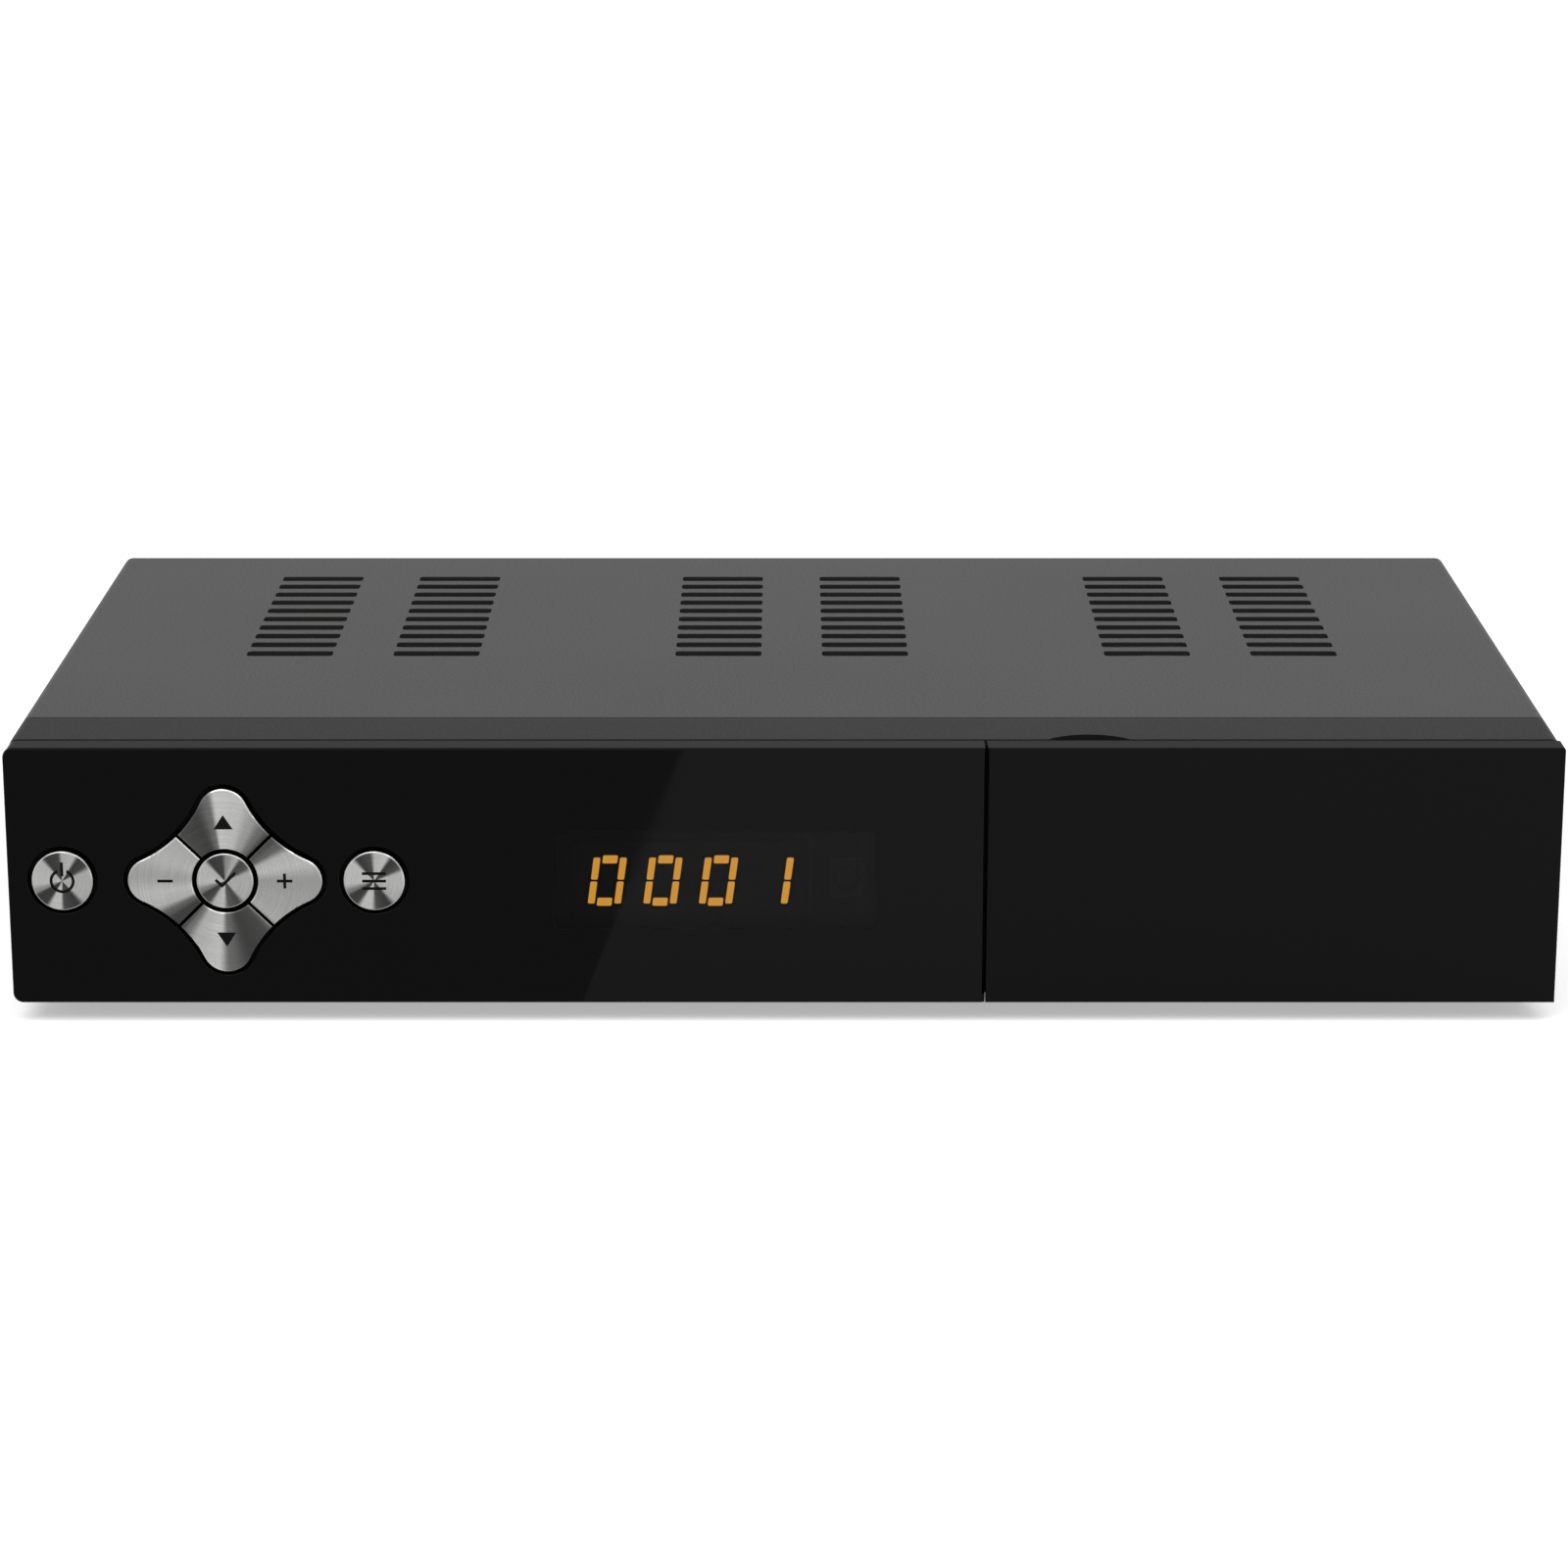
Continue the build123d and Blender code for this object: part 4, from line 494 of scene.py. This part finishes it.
def piece_from(form, name, slot):
    """A piece of the case. Its faces are put in one order, because solidify gives another in each run."""
    form.verts.index_update()
    faces = []
    for face in form.faces:
        corners = [corner.index for corner in face.verts]
        first = corners.index(min(corners))
        faces.append(corners[first:] + corners[:first])
    mesh = bpy.data.meshes.new(name)
    mesh.from_pydata([corner.co for corner in form.verts], [], sorted(faces))
    form.free()
    mesh.materials.append(made[slot])
    piece = bpy.data.objects.new(name, mesh)
    bpy.context.scene.collection.objects.link(piece)
    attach(piece, "case")


def small_parts():
    """Parts at random places, each a dark body between two tinned ends."""
    draw = random.Random(SEED)
    bodies, ends = bmesh.new(), bmesh.new()
    taken = []
    for attempt in range(TRIES):
        x = draw.uniform(board_low.x + BOARD_MARGIN, board_high.x - BOARD_MARGIN)
        y = draw.uniform(board_low.y + BOARD_MARGIN, board_high.y - BOARD_MARGIN)
        length, quarter = draw.choice(PART_LENGTHS), draw.choice((0, 1))
        if any(math.hypot(x - other_x, y - other_y) < PART_PITCH for other_x, other_y in taken):
            continue
        if not bare(x, y, PART_CLEARANCE):
            continue
        taken.append((x, y))
        breadth, height = length * PART_BREADTH, length * PART_HEIGHT
        brick(bodies, x, y, (length * BODY_LENGTH, breadth, height), quarter)
        for side in (-1, 1):
            shift = side * length * END_PLACE
            end_x, end_y = (x, y + shift) if quarter else (x + shift, y)
            end_size = (length * END_LENGTH, breadth * END_SWELL, height * END_SWELL)
            brick(ends, end_x, end_y, end_size, quarter)
    piece_from(bodies, "small_parts", "chip_plastic")
    piece_from(ends, "small_part_ends", "tinned_steel")


small_parts()


# ---- Hood behind the rear vents: it keeps daylight out, and its underside is open to the air ----

HOOD_X = (-0.0610, -0.0190)
HOOD_Y = (0.0607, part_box("rear_panel")[0].y)    # up to the inner face of the rear panel
HOOD_Z = (0.0290, 0.0420)
HOOD_WALL = 0.0005
HOOD_FOLD = 0.0012


def vent_hood():
    sides = (HOOD_X, HOOD_Y, HOOD_Z)
    hood = bmesh.new()
    cube(hood, [(low + high) / 2 for low, high in sides], [high - low for low, high in sides])
    hood.normal_update()
    open_sides = [face for face in hood.faces if face.normal.y > 0.5 or face.normal.z < -0.5]
    bmesh.ops.delete(hood, geom=open_sides, context="FACES")
    folds = [edge for edge in hood.edges if len(edge.link_faces) == 2]
    bmesh.ops.bevel(hood, geom=folds, offset=HOOD_FOLD, segments=4, affect="EDGES")
    bmesh.ops.solidify(hood, geom=hood.faces[:], thickness=HOOD_WALL)
    piece_from(hood, "vent_hood", "black_plastic")


vent_hood()


# ---- Stage: floor, lamps, world and camera ----

FLOOR_HALF = 4.0
FLOOR_GLOW = 0.4
CARD_GLOW = 0.62
CARD_Z = 0.0004
CARD_LEFT = -0.4
CARD_NEAR = FACE_Y - 0.009      # its side towards the front
CARD_BEND = FACE_Y - 0.222
CARD_FAR = FACE_Y - 0.32
CARD_EDGE = (-0.0345, -0.0172)  # X of its slanted side, near the front and at the bend
CAMERA_PLACE = (0.0, -0.7964, 0.2410)
CAMERA_DROP = 15.496            # degrees below level
CAMERA_LENS = 102.83
SKY_DIM = 0.5                   # the world's level as a lamp
SKY_SEEN = 1.0                  # and as a background, also in gloss and through glass


def sheet_piece(name, corners, material):
    mesh = bpy.data.meshes.new(name)
    form = bmesh.new()
    form.faces.new([form.verts.new(corner) for corner in corners])
    form.to_mesh(mesh)
    form.free()
    piece = bpy.data.objects.new(name, mesh)
    mesh.materials.append(material)
    bpy.context.scene.collection.objects.link(piece)
    return piece


def pale_floor():
    """Looks white without lighting the object more."""
    finish = Finish("studio_floor", colour=rgba(0.9), rough=0.9, specular=0.1)
    light_path = finish.add("ShaderNodeLightPath")
    reflected = finish.maths("ADD", light_path.outputs["Is Glossy Ray"],
                             light_path.outputs["Is Transmission Ray"])
    seen = finish.maths("ADD", light_path.outputs["Is Camera Ray"], reflected, clamp=True)
    finish.set(glow=rgba(1.0), glow_strength=finish.maths("MULTIPLY", seen, FLOOR_GLOW))
    sheet_piece("studio_floor", [(-FLOOR_HALF, -FLOOR_HALF, 0), (FLOOR_HALF, -FLOOR_HALF, 0),
                                 (FLOOR_HALF, FLOOR_HALF, 0), (-FLOOR_HALF, FLOOR_HALF, 0)],
                finish.material)


def grey_card():
    """Lies on the floor in front, where only the gloss shows it."""
    finish = Finish("studio_card", colour=rgba(0.0), rough=1.0, specular=0.0, glow=rgba(1.0),
                    glow_strength=CARD_GLOW)
    card = sheet_piece("studio_card", [(CARD_EDGE[0], CARD_NEAR, CARD_Z), (CARD_EDGE[1], CARD_BEND, CARD_Z),
                                       (CARD_EDGE[1], CARD_FAR, CARD_Z), (CARD_LEFT, CARD_FAR, CARD_Z),
                                       (CARD_LEFT, CARD_NEAR, CARD_Z)], finish.material)
    for name in ("visible_camera", "visible_diffuse", "visible_shadow", "visible_transmission"):
        setattr(card, name, False)


def pale_world():
    world = bpy.data.worlds.new("studio")
    world.use_nodes = True
    bpy.context.scene.world = world
    nodes, links = world.node_tree.nodes, world.node_tree.links
    light_path = nodes.new("ShaderNodeLightPath")
    seen = light_path.outputs["Is Camera Ray"]
    for name in ("Is Glossy Ray", "Is Transmission Ray"):
        either = nodes.new("ShaderNodeMath")
        either.operation = "MAXIMUM"
        links.new(seen, either.inputs[0])
        links.new(light_path.outputs[name], either.inputs[1])
        seen = either.outputs[0]
    level = nodes.new("ShaderNodeMapRange")
    level.inputs["To Min"].default_value = SKY_DIM
    level.inputs["To Max"].default_value = SKY_SEEN
    links.new(seen, level.inputs["Value"])
    sky = nodes["Background"]
    sky.inputs["Color"].default_value = rgba(1.0)
    links.new(level.outputs["Result"], sky.inputs["Strength"])


def lamp(name, kind, place, target, energy, **settings):
    data = bpy.data.lights.new(name, kind)
    data.energy = energy
    for key, value in settings.items():
        setattr(data, key, value)
    piece = bpy.data.objects.new(name, data)
    piece.location = place
    piece.rotation_euler = (Vector(target) - Vector(place)).to_track_quat("-Z", "Y").to_euler()
    bpy.context.scene.collection.objects.link(piece)


pale_floor()
grey_card()
pale_world()
lamp("soft_sun", "SUN", (-0.6, -0.9, 1.6), (0, 0, 0), 1.35, angle=math.radians(50))
lamp("softbox", "AREA", (0.7, -0.5, 1.0), (0, 0, 0.03), 4.0, shape="RECTANGLE", size=0.9, size_y=0.6)

camera = bpy.data.objects.new("camera", bpy.data.cameras.new("camera"))
camera.location = CAMERA_PLACE
camera.rotation_euler = (math.radians(90 - CAMERA_DROP), 0, 0)
camera.data.lens = CAMERA_LENS
camera.data.sensor_width = 36.0
camera.data.clip_end = 20.0
bpy.context.scene.collection.objects.link(camera)
bpy.context.scene.camera = camera
bpy.context.scene.view_settings.view_transform = "Standard"
